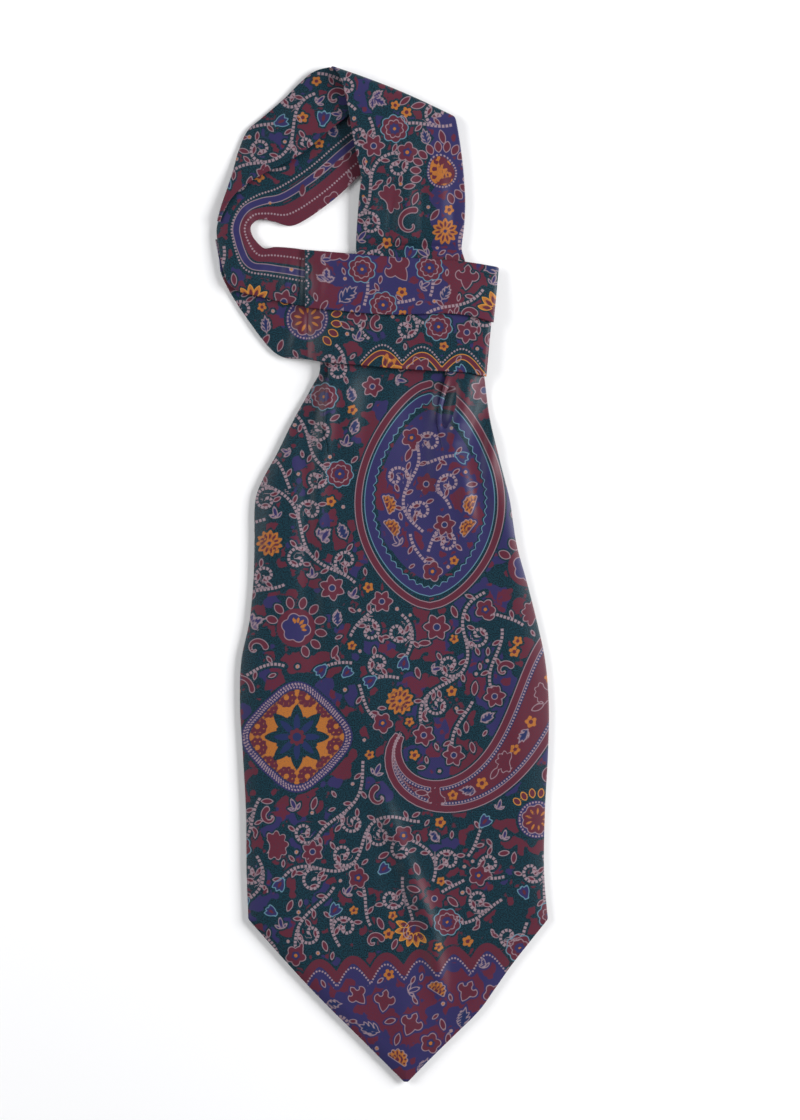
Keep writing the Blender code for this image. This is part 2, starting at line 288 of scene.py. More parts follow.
BEND = [Station(*row) for row in (      # a is the outer edge, b the edge of the neck loop
    (-12.5, 242.6, 0.9, 20.0, 228.5, 0.9, 0.0),
    (-22.0, 236.4, 0.9, 4.0, 214.5, 1.0, 0.2),
    (-33.0, 228.0, 0.9, -11.2, 201.7, 1.3, 0.4),
    (-44.5, 218.5, 0.9, -26.3, 188.2, 1.6, 0.4),
    (-57.5, 210.0, 0.9, -44.0, 176.7, 1.8, 0.4),
    (-68.3, 202.0, 1.0, -54.5, 178.2, 2.0, 0.3),
    (-76.2, 193.0, 1.3, -61.5, 179.4, 2.2, 0.4),
    (-80.8, 183.6, 2.0, -65.6, 177.2, 2.4, 0.8),
    (-83.1, 174.0, 2.8, -66.8, 174.3, 2.5, 1.0),
    (-82.2, 165.8, 3.2, -65.8, 170.6, 2.6, 1.0),
    (-80.5, 156.5, 3.4, -64.2, 168.2, 2.7, 0.9),
    (-77.7, 147.7, 3.7, -62.0, 165.8, 2.8, 0.8),
    (-71.8, 142.9, 4.0, -59.2, 164.0, 2.8, 0.8),
    (-62.0, 140.4, 4.3, -54.0, 164.7, 2.9, 0.7),
    (-50.0, 137.5, 4.9, -46.0, 164.2, 3.1, 0.5),
    (-37.9, 135.1, 6.2, -38.2, 163.1, 3.6, 0.2),
)]
DIAGONAL = [Station(*row) for row in (  # a is the outer edge, b the fold that lies on the bend
    (-26.2, 255.6, 3.2, -4.5, 241.0, 3.5, 0.0),
    (-36.0, 252.2, 2.0, -12.5, 235.0, 3.5, 0.4),
    (-50.3, 238.8, 1.2, -27.4, 223.9, 3.8, 0.5),
    (-60.0, 230.4, 1.1, -39.4, 213.6, 4.1, 0.5),
    (-67.6, 223.7, 1.1, -50.0, 207.3, 4.1, 0.5),
    (-72.0, 214.0, 1.3, -59.1, 202.7, 4.0, 0.4),
    (-74.7, 204.5, 2.2, -67.5, 197.8, 3.8, 0.3),
    (-77.6, 195.0, 3.1, -74.0, 192.6, 3.6, 0.1),
    (-80.7, 186.0, 3.6, -79.3, 185.4, 3.7, 0.0),
    (-82.8, 178.0, 4.4, -82.1, 177.8, 4.4, 0.0),
)]
LOWER = [Station(*row) for row in (     # a is the outline, b the edge hidden under the upper pleat
    (-83.8, 169.0, 1.0, -76.0, 170.0, 1.0, 0.0),
    (-82.1, 160.0, 1.1, -72.0, 163.0, 1.1, 0.0),
    (-80.6, 151.2, 1.2, -69.0, 156.0, 1.2, 0.0),
    (-75.0, 140.1, 1.3, -65.0, 150.5, 1.5, 0.2),
    (-66.8, 127.7, 1.4, -58.0, 147.8, 1.7, 0.3),
    (-57.2, 115.2, 1.6, -50.0, 146.0, 2.1, 0.3),
    (-49.5, 109.8, 2.2, -42.0, 144.0, 2.9, 0.2),
    (-38.5, 108.8, 4.6, -33.0, 142.5, 4.2, 0.0),
    (-27.0, 107.0, 7.2, -22.0, 141.0, 6.3, 0.0),
    (-10.0, 105.6, 7.4, -8.0, 139.9, 6.3, 0.0),
    (8.0, 104.0, 7.4, 8.0, 139.4, 6.3, 0.0),
    (26.0, 102.9, 7.4, 28.0, 139.6, 6.3, 0.0),
    (41.0, 102.1, 7.4, 44.0, 138.8, 6.3, 0.0),
    (50.4, 100.4, 7.2, 53.8, 136.8, 6.1, 0.0),
    (52.3, 100.0, 5.8, 55.6, 136.4, 4.8, 0.0),
)]
UPPER = [Station(*row) for row in (     # a is the pleat's fold, b the edge of the neck loop
    (-38.8, 134.6, 7.6, -39.0, 163.2, 4.9, 0.2),
    (-25.0, 133.4, 8.5, -24.3, 162.0, 4.6, 0.3),
    (-10.0, 131.9, 9.0, -8.0, 160.6, 5.4, 0.3),
    (5.0, 131.1, 8.8, 7.0, 159.5, 5.6, 0.3),
    (20.0, 131.4, 8.8, 22.0, 158.6, 5.6, 0.3),
    (35.0, 131.6, 8.8, 36.0, 157.8, 5.6, 0.3),
    (46.0, 130.0, 8.7, 47.0, 156.4, 5.5, 0.2),
    (54.3, 127.6, 8.4, 56.8, 154.7, 5.0, 0.0),
    (56.0, 127.2, 7.9, 58.5, 154.2, 3.6, 0.0),
)]

# %% [markdown]
# ## The blade
#
# The blade hangs open below the crossing, and its fullness is taken up in two pleats at the
# throat. A pleat is a real Z here: the cloth runs on under the fold, turns back, and turns again
# at the lip. The folds open out and die away a hand's width down, as unpressed silk does.

# %% The blade's tables
BladeRow = namedtuple("BladeRow", "y left right")
BLADE = [BladeRow(*row) for row in (
    (118, -31.5, 50.2),
    (103, -31.0, 50.9),
    (95, -34.8, 51.7),
    (78, -44.2, 54.0),
    (61, -52.6, 58.0),
    (47, -60.2, 61.6),
    (36, -63.7, 64.2),
    (15, -64.0, 67.4),
    (-4, -64.6, 72.6),
    (-24, -66.6, 77.7),
    (-44, -70.7, 81.9),
    (-67, -71.3, 83.7),
    (-92, -69.8, 83.2),
    (-120, -68.3, 81.7),
    (-150, -68.0, 81.3),
    (-174, -67.1, 83.2),
)]
TIP = (12.0, -255.9)      # the blade's point
TIP_HALF_WIDTH = 0.7
TipRow = namedtuple("TipRow", "share left_bulge right_bulge")
TIP_ROWS = [TipRow(*row) for row in (   # share of the way to the point, and the bulge outwards
    (0.14, 0.9, 0.7),
    (0.28, 1.6, 1.6),
    (0.42, 2.0, 3.4),
    (0.56, 1.8, 5.0),
    (0.70, 1.1, 3.4),
    (0.85, 0.5, 1.4),
    (1.00, 0.0, 0.0),
)]

PleatRow = namedtuple("PleatRow", "y left_fold left_lift right_fold right_lift")
PLEATS = [PleatRow(*row) for row in (   # each fold's share of the width, and how high it stands
    (118, 0.070, 1.7, 0.820, 1.9),
    (103, 0.053, 1.7, 0.796, 1.9),
    (95, 0.084, 1.6, 0.772, 1.7),
    (85, 0.131, 1.3, 0.746, 1.1),
    (77, 0.157, 0.9, 0.738, 0.6),
    (64, 0.193, 0.6, 0.741, 0.4),
    (50, 0.215, 0.3, 0.750, 0.1),
    (-256, 0.250, 0.0, 0.750, 0.0),
)]

# %% The blade's outline
OUTLINE_STEPS = 300
TIP_STEPS = 120


def blade_edges(y):
    """The left and right edge at each y, read off a smooth curve through the tables."""
    side = through(BLADE, OUTLINE_STEPS)
    corner = side[-1]
    share, left_bulge, right_bulge = through([(0, 0, 0), *TIP_ROWS], TIP_STEPS).T
    left = corner[1] + (TIP[0] - TIP_HALF_WIDTH - corner[1]) * share - left_bulge
    right = corner[2] + (TIP[0] + TIP_HALF_WIDTH - corner[2]) * share + right_bulge
    tip = np.column_stack([corner[0] + (TIP[1] - corner[0]) * share, left, right])
    outline = np.vstack([side, tip[1:]])[::-1]
    return np.interp(y, outline[:, 0], outline[:, 1]), np.interp(y, outline[:, 0], outline[:, 2])


# %% The blade's surface
BLADE_Z = 3.6             # height of the blade's middle, over the layers under it
BLADE_ROWS = 400
PANEL_COLUMNS = 39        # the panel outside each pleat
MAIN_COLUMNS = 76
TURN_COLUMNS = 3          # round the hidden turn, and again along the way back
LIP_COLUMNS = 4
PLEAT_DEPTH = 12.0        # how far the cloth runs under each fold
PLEAT_RISE = 1.8          # a pleat's height beside the lift in the table
PLEAT_FALL = 16.0         # over what width a pleat's raised cloth comes down
PLEATS_OPEN = (46.0, 80.0)
EDGE_DROOP, EDGE_REACH = 1.3, 9.0
TROUGH_ROOM = 0.9         # how far a trough may sink
HELD_ABOVE = 105.0        # the crossing band lies on the blade from here up

BLADE_CREASES = [Crease(*row) for row in (
    (-25, 100, -30, 58, 4.0, 1.8), (-31, 70, -34, 10, 4.0, 1.2), (-38, 66, -37, -8, 5.0, -1.0),
    (-33, 96, -41, 60, 4.0, -1.0), (-44, 66, -48, -20, 8, 1.2), (-17, 100, -14, 50, 5, 0.9), (-54, 50, -58, 4, 5, 0.9),
    (30, 98, 28, 74, 3.0, 1.9), (45, 98, 36, 66, 5.2, 2.1), (38, 78, 32, 52, 4.4, 1.2), (37, 101, 31, 76, 2.4, -1.7),
    (52, 98, 46, 54, 4.2, -1.5), (57, 84, 54, 44, 4.0, 1.5), (46, 58, 52, 20, 4.5, -1.1), (58, 50, 68, 0, 6, 1.3),
    (39, 56, 45, 24, 4.5, 1.3), (26, 84, 29, 30, 4.5, 0.9), (4, 100, -4, 40, 8, 0.9), (15, 98, 18, 30, 6, -0.9),
    (24, 44, 34, -20, 7, -0.6), (-30, 12, -26, -40, 5, 0.8), (-37, 0, -33, -50, 5, -0.8),
    (-2, -108, 12, -146, 4.5, 1.7), (11, -142, 26, -184, 4.4, 2.1), (24, -178, 31, -216, 4.5, 1.8),
    (-6, -124, 17, -196, 5, -1.6), (-20, -120, -6, -200, 12, -0.6), (36, -120, 46, -190, 12, -0.6),
    (-50, -20, -58, -120, 12, 0.9), (62, -10, 72, -120, 10, 1.1), (-6, -10, -14, -90, 12, 0.8),
    (26, -10, 30, -80, 14, -0.7), (-60, -130, -40, -190, 10, 0.7), (-66, -60, -62, -100, 7, -0.5),
    (8, -206, 14, -244, 7, 0.8), (40, -196, 30, -226, 7, -0.7), (76, -60, 78, -150, 7, -0.6),
    (-30, -60, -18, -120, 9, -0.7), (46, -60, 52, -110, 9, 0.7),
)]


def pleat_at(y):
    """The folds' shares of the width and their lifts, read down the blade."""
    table = np.array(PLEATS, dtype=float)[::-1]
    return [np.interp(y, table[:, 0], table[:, column])[:, None] for column in range(1, 5)]


def half_turn(count):
    """Sines and cosines round half a circle, without its ends."""
    angle = pi * (np.arange(count) + 1) / (count + 1)
    return np.sin(angle), (1 - np.cos(angle)) / 2


def pleat_path(fold, depth, rise):
    """Across a pleat: under the fold and round, back at half height, and round the lip on top."""
    out, up = half_turn(TURN_COLUMNS)
    turn = np.stack([fold + depth + out * rise / 4, 0 * fold + up * rise / 2], axis=2)
    share = np.linspace(1, 0, TURN_COLUMNS)
    back = np.stack([fold + depth * share, 0 * fold + 0 * share + rise / 2], axis=2)
    out, up = half_turn(LIP_COLUMNS)
    lip = np.stack([fold - out * rise / 4, rise / 2 + up * rise / 2], axis=2)
    return np.concatenate([turn, back, lip], axis=1)


def panel(start, end, count, raised, depth):
    """A flat stretch whose height comes down from raised, starting past the hidden turn."""
    x = start + (end - start) * np.linspace(0, 1, count)
    height = raised * (1 - smooth_step(x - start, 0.7 * depth, 0.7 * depth + PLEAT_FALL))
    return np.stack([x, height], axis=2)


def soft_limit(height):
    """Troughs flatten out before they reach the layers below: h for ridges, and 0.9 (1 - e^(h/0.9)) down."""
    return np.where(height > 0, height, -TROUGH_ROOM * (1 - np.exp(np.minimum(height, 0) / TROUGH_ROOM)))


def blade_surface():
    """The blade's middle surface with its pleats, and the print's place on it."""
    y = np.linspace(BLADE[0].y, TIP[1], BLADE_ROWS)
    left, right = (edge[:, None] for edge in blade_edges(y))
    left_share, left_lift, right_share, right_lift = pleat_at(y)
    folded = smooth_step(y, *PLEATS_OPEN)[:, None]
    depth = PLEAT_DEPTH * folded
    left_fold = left + (right - left) * left_share
    right_fold = left + (right - left) * right_share
    freed = smooth_step(HELD_ABOVE - y, 0, 10)[:, None]          # the band presses the throat flat
    swell = (1 + (PLEAT_RISE - 1) * freed) * folded
    left_rise, right_rise = swell * left_lift, swell * right_lift
    pleated = np.concatenate([
        panel(left, left_fold + depth, PANEL_COLUMNS, 0 * left_rise, depth),
        pleat_path(left_fold, depth, left_rise),
        panel(left_fold, right_fold + depth, MAIN_COLUMNS, left_rise, depth),
        pleat_path(right_fold, depth, right_rise),
        panel(right_fold, right, PANEL_COLUMNS, right_rise, depth)], axis=1)
    columns = pleated.shape[1]
    steps = np.arange(columns)
    ends = np.cumsum([PANEL_COLUMNS, columns - 2 * PANEL_COLUMNS - MAIN_COLUMNS
                      - TURN_COLUMNS * 2 - LIP_COLUMNS, MAIN_COLUMNS])
    even = left + (right - left) * np.interp(
        steps, [0, ends[0] + 4, ends[2] + 4, columns - 1], [0, 0.24, 0.75, 1])
    x = even * (1 - folded) + pleated[:, :, 0] * folded
    rows_y = np.repeat(y[:, None], columns, axis=1)
    from_edge = np.minimum(x - left, right - x)
    sink = EDGE_DROOP * np.clip(1 - from_edge / EDGE_REACH, 0, 1)**2
    sink *= np.clip((BLADE[1].y - rows_y) / EDGE_REACH, 0, 1)
    z = BLADE_Z + pleated[:, :, 1] * folded - sink + freed * soft_limit(creases(x, rows_y, BLADE_CREASES))
    return np.dstack([x, rows_y, z])


# %% The neckband's surfaces
THREADS = 0.55            # distance between points along and across the neckband, in mm
ROLL_BOW = 1.3            # how far the rolled fold bows out between its ends

RISE_CREASES = [Crease(*row) for row in (
    (-12, 166, 40, 165, 1.6, -1.5), (-10, 170, 14, 169.5, 2.6, 0.7), (16, 170, 40, 168.5, 2.4, 0.6),
    (-6, 170, -4, 200, 3.5, 0.8), (3, 168, 6, 192, 2.6, -0.7), (11, 171, 14, 214, 3.4, 0.7),
    (20, 168, 21, 196, 2.6, -0.6), (29, 170, 30, 206, 3.4, 0.8), (36, 168, 36, 190, 2.2, -0.5),
    (-12, 214, 18, 238, 6.0, 0.6), (6, 206, 36, 220, 5.0, -0.5), (-8, 196, 10, 232, 5.0, -0.4),
)]
BEND_CREASES = [Crease(*row) for row in (
    (-72, 190, -66, 176, 2.2, 0.5), (-80, 170, -67, 171, 2.0, -0.6), (-76, 150, -64, 164, 2.4, -0.5),
    (-70, 144, -58, 158, 2.6, 0.7), (-60, 141, -50, 158, 2.4, -0.6), (-50, 139, -46, 162, 2.2, 0.7),
    (-42, 137, -41, 162, 1.6, -0.8), (-30, 208, -44, 184, 3.0, 0.5),
)]
DIAGONAL_CREASES = [Crease(*row) for row in (
    (-30, 246, -66, 216, 4.0, 0.5), (-22, 234, -56, 207, 3.0, -0.4), (-44, 240, -70, 212, 2.4, -0.4),
)]
LOWER_CREASES = [Crease(*row) for row in (
    (-46, 112, -39, 134, 2.4, 0.6), (-62, 124, -46, 142, 4.0, 0.7), (-40, 112, -6, 124, 5.0, 0.6),
    (-72, 138, -52, 146, 3.5, -0.5), (-30, 126, 40, 122, 5.0, 0.5), (0, 108, 46, 106, 4.0, -0.4),
    (-37.5, 108, -37.5, 136, 1.5, -0.9), (20, 118, 52, 126, 4.0, 0.5),
)]
UPPER_CREASES = [Crease(*row) for row in (
    (-36.5, 136, -36.5, 162, 1.4, -0.7), (-32, 138, -30, 160, 2.4, 0.7), (-26, 150, -4, 157, 3.0, 0.5),
    (-28, 140, 6, 143, 4.0, -0.5), (0, 148, 44, 145, 5.0, 0.5), (18, 136, 54, 134, 3.5, -0.4),
    (30, 154, 54, 148, 3.0, -0.4), (-20, 135, 30, 134, 2.5, 0.4),
)]


def strip(stations, table, bow=0.0, rolled_rows=4):
    """A stretch of neckband, its points THREADS apart, with its creases and its bowed end."""
    rough = between_edges(stations, 60, 9)
    length = np.linalg.norm(np.diff(rough[:, 4], axis=0), axis=1).sum()
    width = np.linalg.norm(rough[:, -1] - rough[:, 0], axis=1).max()
    along, across = int(length / THREADS), int(width / THREADS) + 1
    grid = between_edges(stations, along, across)
    grid[:, :, 2] += creases(grid[:, :, 0], grid[:, :, 1], table)
    rolled = np.clip(np.linspace(0, len(stations) - 1, along) - (len(stations) - 1 - rolled_rows), 0, 1)
    push = bow * np.outer(rolled, np.sin(pi * np.linspace(0, 1, across)))
    grid[:, :, 0] += 0.37 * push
    grid[:, :, 1] += 0.93 * push
    return grid


# %% [markdown]
# ## The hidden blade
#
# Under the front blade lie the second blade and the turned-under edges. Nothing of them shows
# from above, so they are one solid with a stepped, rounded edge where two layers end.

# %% The hidden layers
LAYER = 1.1
BACK_WIDTH, BACK_NOSE, BACK_STEP, BACK_TIP_INSET, BACK_TOP = 0.92, 3.2, 2.0, 22.0, 154.0
BACK_ROWS = 160


def back_surface():
    """Loops of a two-layer section, each layer's edge half a circle, down the narrowed outline."""
    top, last = BLADE[0].y, TIP[1] + BACK_TIP_INSET
    y = np.linspace(top, last, BACK_ROWS)
    outline_y = np.interp(y, [last, top], [TIP[1], top])
    left, right = blade_edges(outline_y)
    middle, half = (left + right) / 2, np.maximum(BACK_WIDTH * (right - left) / 2, BACK_NOSE)
    throat = [[BACK_TOP, middle[0], half[0] * 0.72], [BACK_TOP - 14, middle[0], half[0] * 0.86]]
    rows = np.vstack([throat, np.column_stack([y, middle, half])])
    angle = np.radians([-90, -45, 0, 45, 90])
    layers = [(LAYER / 2, LAYER / 2 - 0.02, 0.0), (1.5 * LAYER, LAYER / 2 - 0.02, BACK_STEP)]
    edge = np.vstack([np.column_stack([inset + radius - radius * np.cos(angle),
                                       height + radius * np.sin(angle)])
                      for height, radius, inset in layers])
    across = np.linspace(-1, 1, 22)[1:-1]
    upper = np.column_stack([across, 0 * across, 0 * across + 2 * LAYER - 0.04])
    lower = np.column_stack([across[::-1], 0 * across, 0 * across])
    left_edge = np.column_stack([-np.ones(len(edge)), edge])
    right_edge = np.column_stack([np.ones(len(edge)), -edge[::-1, 0], edge[::-1, 1]])
    section = np.vstack([left_edge, upper, right_edge, lower])
    x = rows[:, 1:2] + section[:, 0] * rows[:, 2:3] + section[:, 1]
    z = np.repeat(section[None, :, 2], len(rows), axis=0)
    return np.dstack([x, np.repeat(rows[:, 0:1], len(section), axis=1), z])

# %% [markdown]
# ## How the print is made
#
# The silk is screen printed: one flat ink after another over a dark teal ground, then thin pale
# lines. A picture of it would be an image file. Here every ink is a field of signed distances in
# millimetres instead, worked out on the points of the cloth, above zero where there is ink.
# A field is smooth between points, so the material can cut it at zero with a crisp edge, and
# a line is drawn wherever a field passes through zero. Motifs come from four shapes: a pointed
# petal, a lobed disc, a band along a curve, and a closed outline.

# %% Ink fields
FILLS = ("purple", "maroon", "gold", "navy")
LINES = ("pale", "sky", "gilt")
NO_INK = -99.0
FAR = 400.0
SCROLL, BEADS = 0.0, 1.0                    # a dotted stem, a row of beads
SCALLOP_PITCH = 4.6
STRING_REACH = 2.4                          # how far from a stem's middle its field is kept


class Cloth:
    """The printed fields on one piece: x and y are each point's place on the cloth, in mm."""

    def __init__(self, x, y):
        self.x, self.y = x.ravel(), y.ravel()
        self.field = {name: np.full(self.x.size, NO_INK) for name in FILLS + LINES + ("busy",)}
        self.rope = np.tile([0.0, FAR, SCROLL], (self.x.size, 1))

    def near(self, x, y, reach):
        """The points within reach of a place, and their offsets from it."""
        index = np.flatnonzero((abs(self.x - x) < reach) & (abs(self.y - y) < reach))
        return index, self.x[index] - x, self.y[index] - y

    def lay(self, ink, index, shape, line=None, cover=True):
        """Print one ink inside a shape, keep the other inks out of it, and outline it."""
        if not index.size:
            return
        for name in FILLS:
            field = self.field[name]
            field[index] = np.maximum(field[index], shape) if name == ink else np.minimum(field[index], -shape)
        busy = self.field["busy"]
        busy[index] = np.maximum(busy[index], shape)
        if cover:
            self.rope[index[shape > 0], 1] = FAR
        if line:
            drawn = self.field[line]
            nested = drawn[index[np.argmax(shape)]] > 0
            drawn[index] = np.minimum(drawn[index], -shape) if nested else np.maximum(drawn[index], shape)

    def string(self, index, along, off, kind):
        """Print a dotted stem or a row of beads where it is nearer than any other."""
        nearer = np.abs(off) < np.minimum(np.abs(self.rope[index, 1]), STRING_REACH)
        self.rope[index[nearer]] = np.column_stack([along, off, np.full(off.size, kind)])[nearer]
        busy = self.field["busy"]
        busy[index] = np.maximum(busy[index], 1 - np.abs(off))


# %% The four shapes
def turned(dx, dy, degrees):
    """The offsets along and across a direction."""
    angle = radians(degrees)
    return dx * np.cos(angle) + dy * np.sin(angle), dy * np.cos(angle) - dx * np.sin(angle)


def petal(along, across, length, width):
    """A pointed oval from 0 to length, where two circles meet: radius minus distance to its centre."""
    half_long, half_wide = length / 2, width / 2
    radius = (half_long**2 + half_wide**2) / (2 * half_wide)
    return radius - np.hypot(along - half_long, abs(across) + radius - half_wide)


def lobed(dx, dy, radius, lobes, depth, turn=0.0, sharp=False):
    """A disc whose edge goes in and out: r(a) = R (1 - depth + depth w(a)), w from a cosine or a sine."""
    angle = (np.arctan2(dy, dx) - radians(turn)) * lobes / 2
    wave = 1 - abs(np.sin(angle)) if sharp else abs(np.cos(angle))
    return 0.85 * (radius * (1 - depth + depth * wave) - np.hypot(dx, dy))


def petals_round(dx, dy, count, turn, start, length, width):
    """The same petal set round a centre: the plane is folded into one sector before it is drawn."""
    sector = 2 * pi / count
    angle = np.mod(np.arctan2(dy, dx) - radians(turn) + sector / 2, sector) - sector / 2
    ring = np.hypot(dx, dy)
    return petal(ring * np.cos(angle) - start, ring * np.sin(angle), length, width)


def along_curve(cloth, points, reach):
    """For the points of cloth near a curve: how far along it they are, and how far off to its left."""
    points = np.asarray(points, dtype=float)
    low, high = points.min(axis=0) - reach, points.max(axis=0) + reach
    inside = (cloth.x > low[0]) & (cloth.x < high[0]) & (cloth.y > low[1]) & (cloth.y < high[1])
    index = np.flatnonzero(inside)
    x, y = cloth.x[index], cloth.y[index]
    best = np.full(index.size, -NO_INK)
    along, off = np.zeros(index.size), np.full(index.size, -NO_INK)
    start = 0.0
    for (x1, y1), (x2, y2) in zip(points[:-1], points[1:]):
        length = max(np.hypot(x2 - x1, y2 - y1), 1e-6)
        ux, uy = (x2 - x1) / length, (y2 - y1) / length
        reached = np.clip((x - x1) * ux + (y - y1) * uy, 0, length)
        away = np.hypot(x - x1 - reached * ux, y - y1 - reached * uy)
        side = np.where((y - y1) * ux - (x - x1) * uy >= 0, 1.0, -1.0)
        closer = away < best
        best[closer] = away[closer]
        along[closer] = (start + reached)[closer]
        off[closer] = (side * away)[closer]
        start += length
    near = best < reach
    return index[near], along[near], off[near], start


def spiral(x, y, size, turn, turns=1.15):
    """A curl: r = size (1 - t)^0.8 at an angle that goes round, from its open end inwards."""
    t = np.linspace(0, 0.92, 26)
    angle = np.radians(turn) + 2 * pi * turns * t
    radius = abs(size) * (1 - t)**0.8
    return np.column_stack([x + radius * np.cos(angle * np.sign(size)), y + radius * np.sin(angle * np.sign(size))])


def stem(cloth, points, kind):
    """A dotted stem or beads along a curve."""
    index, along, off, length = along_curve(cloth, points, STRING_REACH)
    cloth.string(index, along, off, kind)


def ribbon(cloth, ink, line, points, half, taper=0.0, scallop=0.0):
    """A band of ink along a curve, narrowing towards its end, its left edge scalloped if asked."""
    index, along, off, length = along_curve(cloth, points, half + 3)
    wave = scallop * (np.abs(np.sin(pi * along / SCALLOP_PITCH)) - 0.5) * (off > 0)
    cloth.lay(ink, index, half * (1 - taper * along / length) + wave - np.abs(off), line)


def sprouts(cloth, points, apart=8.0, size=4.6):
    """Small pale-edged leaves along a stem, on alternate sides."""
    points = np.asarray(points, dtype=float)
    steps = np.hypot(*np.diff(points, axis=0).T)
    reached = np.r_[0, np.cumsum(steps)]
    for number, at in enumerate(np.arange(apart * 0.7, reached[-1] - 2, apart)):
        here = min(np.searchsorted(reached, at), len(points) - 1)
        heading = np.arctan2(*(points[here] - points[here - 1])[::-1]) + (0.9 if number % 2 else -0.9)
        index, dx, dy = cloth.near(*points[here], size + 3)
        along, across = turned(dx, dy, np.degrees(heading))
        cloth.lay("maroon", index, petal(along - 0.7, across, size, 0.42 * size), "pale", cover=False)


def inside_outline(cloth, points, reach):
    """Signed distance to a closed outline, above 0 inside, counting how often a ray crosses it."""
    points = np.vstack([points, points[:1]])
    index, along, off, length = along_curve(cloth, points, reach)
    x, y = cloth.x[index], cloth.y[index]
    crossings = np.zeros(index.size, int)
    for (x1, y1), (x2, y2) in zip(points[:-1], points[1:]):
        spans = (y1 > y) != (y2 > y)
        crossings += spans & (x < x1 + (x2 - x1) * (y - y1) / (y2 - y1 + 1e-12))
    return index, np.where(crossings % 2 == 1, 1, -1) * np.abs(off), along


def cloud(x, y, size, seed):
    """Smooth noise: random values on a lattice of cells, blended by 3t^2 - 2t^3, in three octaves."""
    total = np.zeros_like(x)
    for octave in (1, 2, 5):
        rng = np.random.default_rng(seed + octave)
        lattice = rng.uniform(-1, 1, (64, 128))
        gx, gy = x * octave / size + 17, y * octave / size + 61
        ix, iy = np.floor(gx).astype(int), np.floor(gy).astype(int)
        tx, ty = smooth_step(gx - ix, 0, 1), smooth_step(gy - iy, 0, 1)
        corner = [[lattice[(ix + i) % 64, (iy + j) % 128] for j in (0, 1)] for i in (0, 1)]
        low = corner[0][0] * (1 - tx) + corner[1][0] * tx
        high = corner[0][1] * (1 - tx) + corner[1][1] * tx
        total += (low * (1 - ty) + high * ty) / octave
    return total


# %% [markdown]
# ## Motifs
#
# A paisley print is a small vocabulary used again and again. Each motif below is drawn at a place,
# a size and a turn: star flowers, round flowers, hand-shaped palmettes with gold fingers, crowned
# cones, tulips, saw-edged leaves, half rosettes and a large gold medallion.

# %% Flowers and leaves
def star_flower(cloth, x, y, size, turn):
    """Six broad pointed petals round a dark eye."""
    index, dx, dy = cloth.near(x, y, size + 4)
    cloth.lay("maroon", index, petals_round(dx, dy, 6, turn, -0.1 * size, 1.1 * size, 0.62 * size), "pale")
    cloth.lay("navy", index, 0.26 * size - np.hypot(dx, dy), "pale")


def round_flower(cloth, x, y, size, turn):
    """Five round petals with a gold eye."""
    index, dx, dy = cloth.near(x, y, size + 4)
    cloth.lay("maroon", index, lobed(dx, dy, size, 5, 0.34, turn), "pale")
    cloth.lay("purple", index, lobed(dx, dy, 0.45 * size, 5, 0.3, turn))
    cloth.lay("gold", index, 0.18 * size - np.hypot(dx, dy))


def sky_flower(cloth, x, y, size, turn):
    """Eight round lobes edged in pale blue, with a smaller one inside edged in cream."""
    index, dx, dy = cloth.near(x, y, size + 4)
    cloth.lay("maroon", index, lobed(dx, dy, size, 8, 0.16, turn), "sky")
    cloth.lay("maroon", index, lobed(dx, dy, 0.66 * size, 8, 0.22, turn + 22.5), "pale")
    cloth.lay("purple", index, lobed(dx, dy, 0.42 * size, 8, 0.3, turn))
    cloth.lay("gold", index, 0.8 - np.hypot(dx, dy))


def floret(cloth, x, y, size, turn):
    """A small gold flower with a maroon eye."""
    index, dx, dy = cloth.near(x, y, size + 3)
    cloth.lay("gold", index, lobed(dx, dy, size, 5, 0.42, turn))
    cloth.lay("maroon", index, 0.36 * size - np.hypot(dx, dy))


def daisy(cloth, x, y, size, turn):
    """Twelve narrow gold petals, each with a maroon middle, round a maroon eye."""
    index, dx, dy = cloth.near(x, y, size + 3)
    cloth.lay("gold", index, petals_round(dx, dy, 11, turn, 0.2 * size, 0.85 * size, 0.42 * size))
    cloth.lay("maroon", index, petals_round(dx, dy, 11, turn, 0.3 * size, 0.52 * size, 0.18 * size))
    cloth.lay("gold", index, lobed(dx, dy, 0.36 * size, 6, 0.4, turn))
    cloth.lay("purple", index, 0.14 * size - np.hypot(dx, dy))


def tulip(cloth, x, y, size, turn):
    """Three pointed petals from one base, edged in pale blue."""
    index, dx, dy = cloth.near(x, y, 1.3 * size + 3)
    shape = np.full(index.size, NO_INK)
    for lean in (-30, 0, 30):
        along, across = turned(dx, dy, turn + lean)
        shape = np.maximum(shape, petal(along + 0.35 * size, across, 1.25 * size, 0.5 * size))
    cloth.lay("purple", index, shape, "sky")
    along, across = turned(dx, dy, turn)
    cloth.lay("maroon", index, petal(along, across, 0.6 * size, 0.25 * size))


def sprig(cloth, x, y, size, turn):
    """A small bud between two leaves, edged in cream."""
    index, dx, dy = cloth.near(x, y, 1.6 * size + 3)
    shape = np.full(index.size, NO_INK)
    for lean, share in ((-48, 0.6), (0, 0.95), (48, 0.6)):
        along, across = turned(dx, dy, turn + lean)
        shape = np.maximum(shape, petal(along - 0.1 * size, across, share * size, 0.34 * share * size))
    cloth.lay("purple", index, shape, "pale")


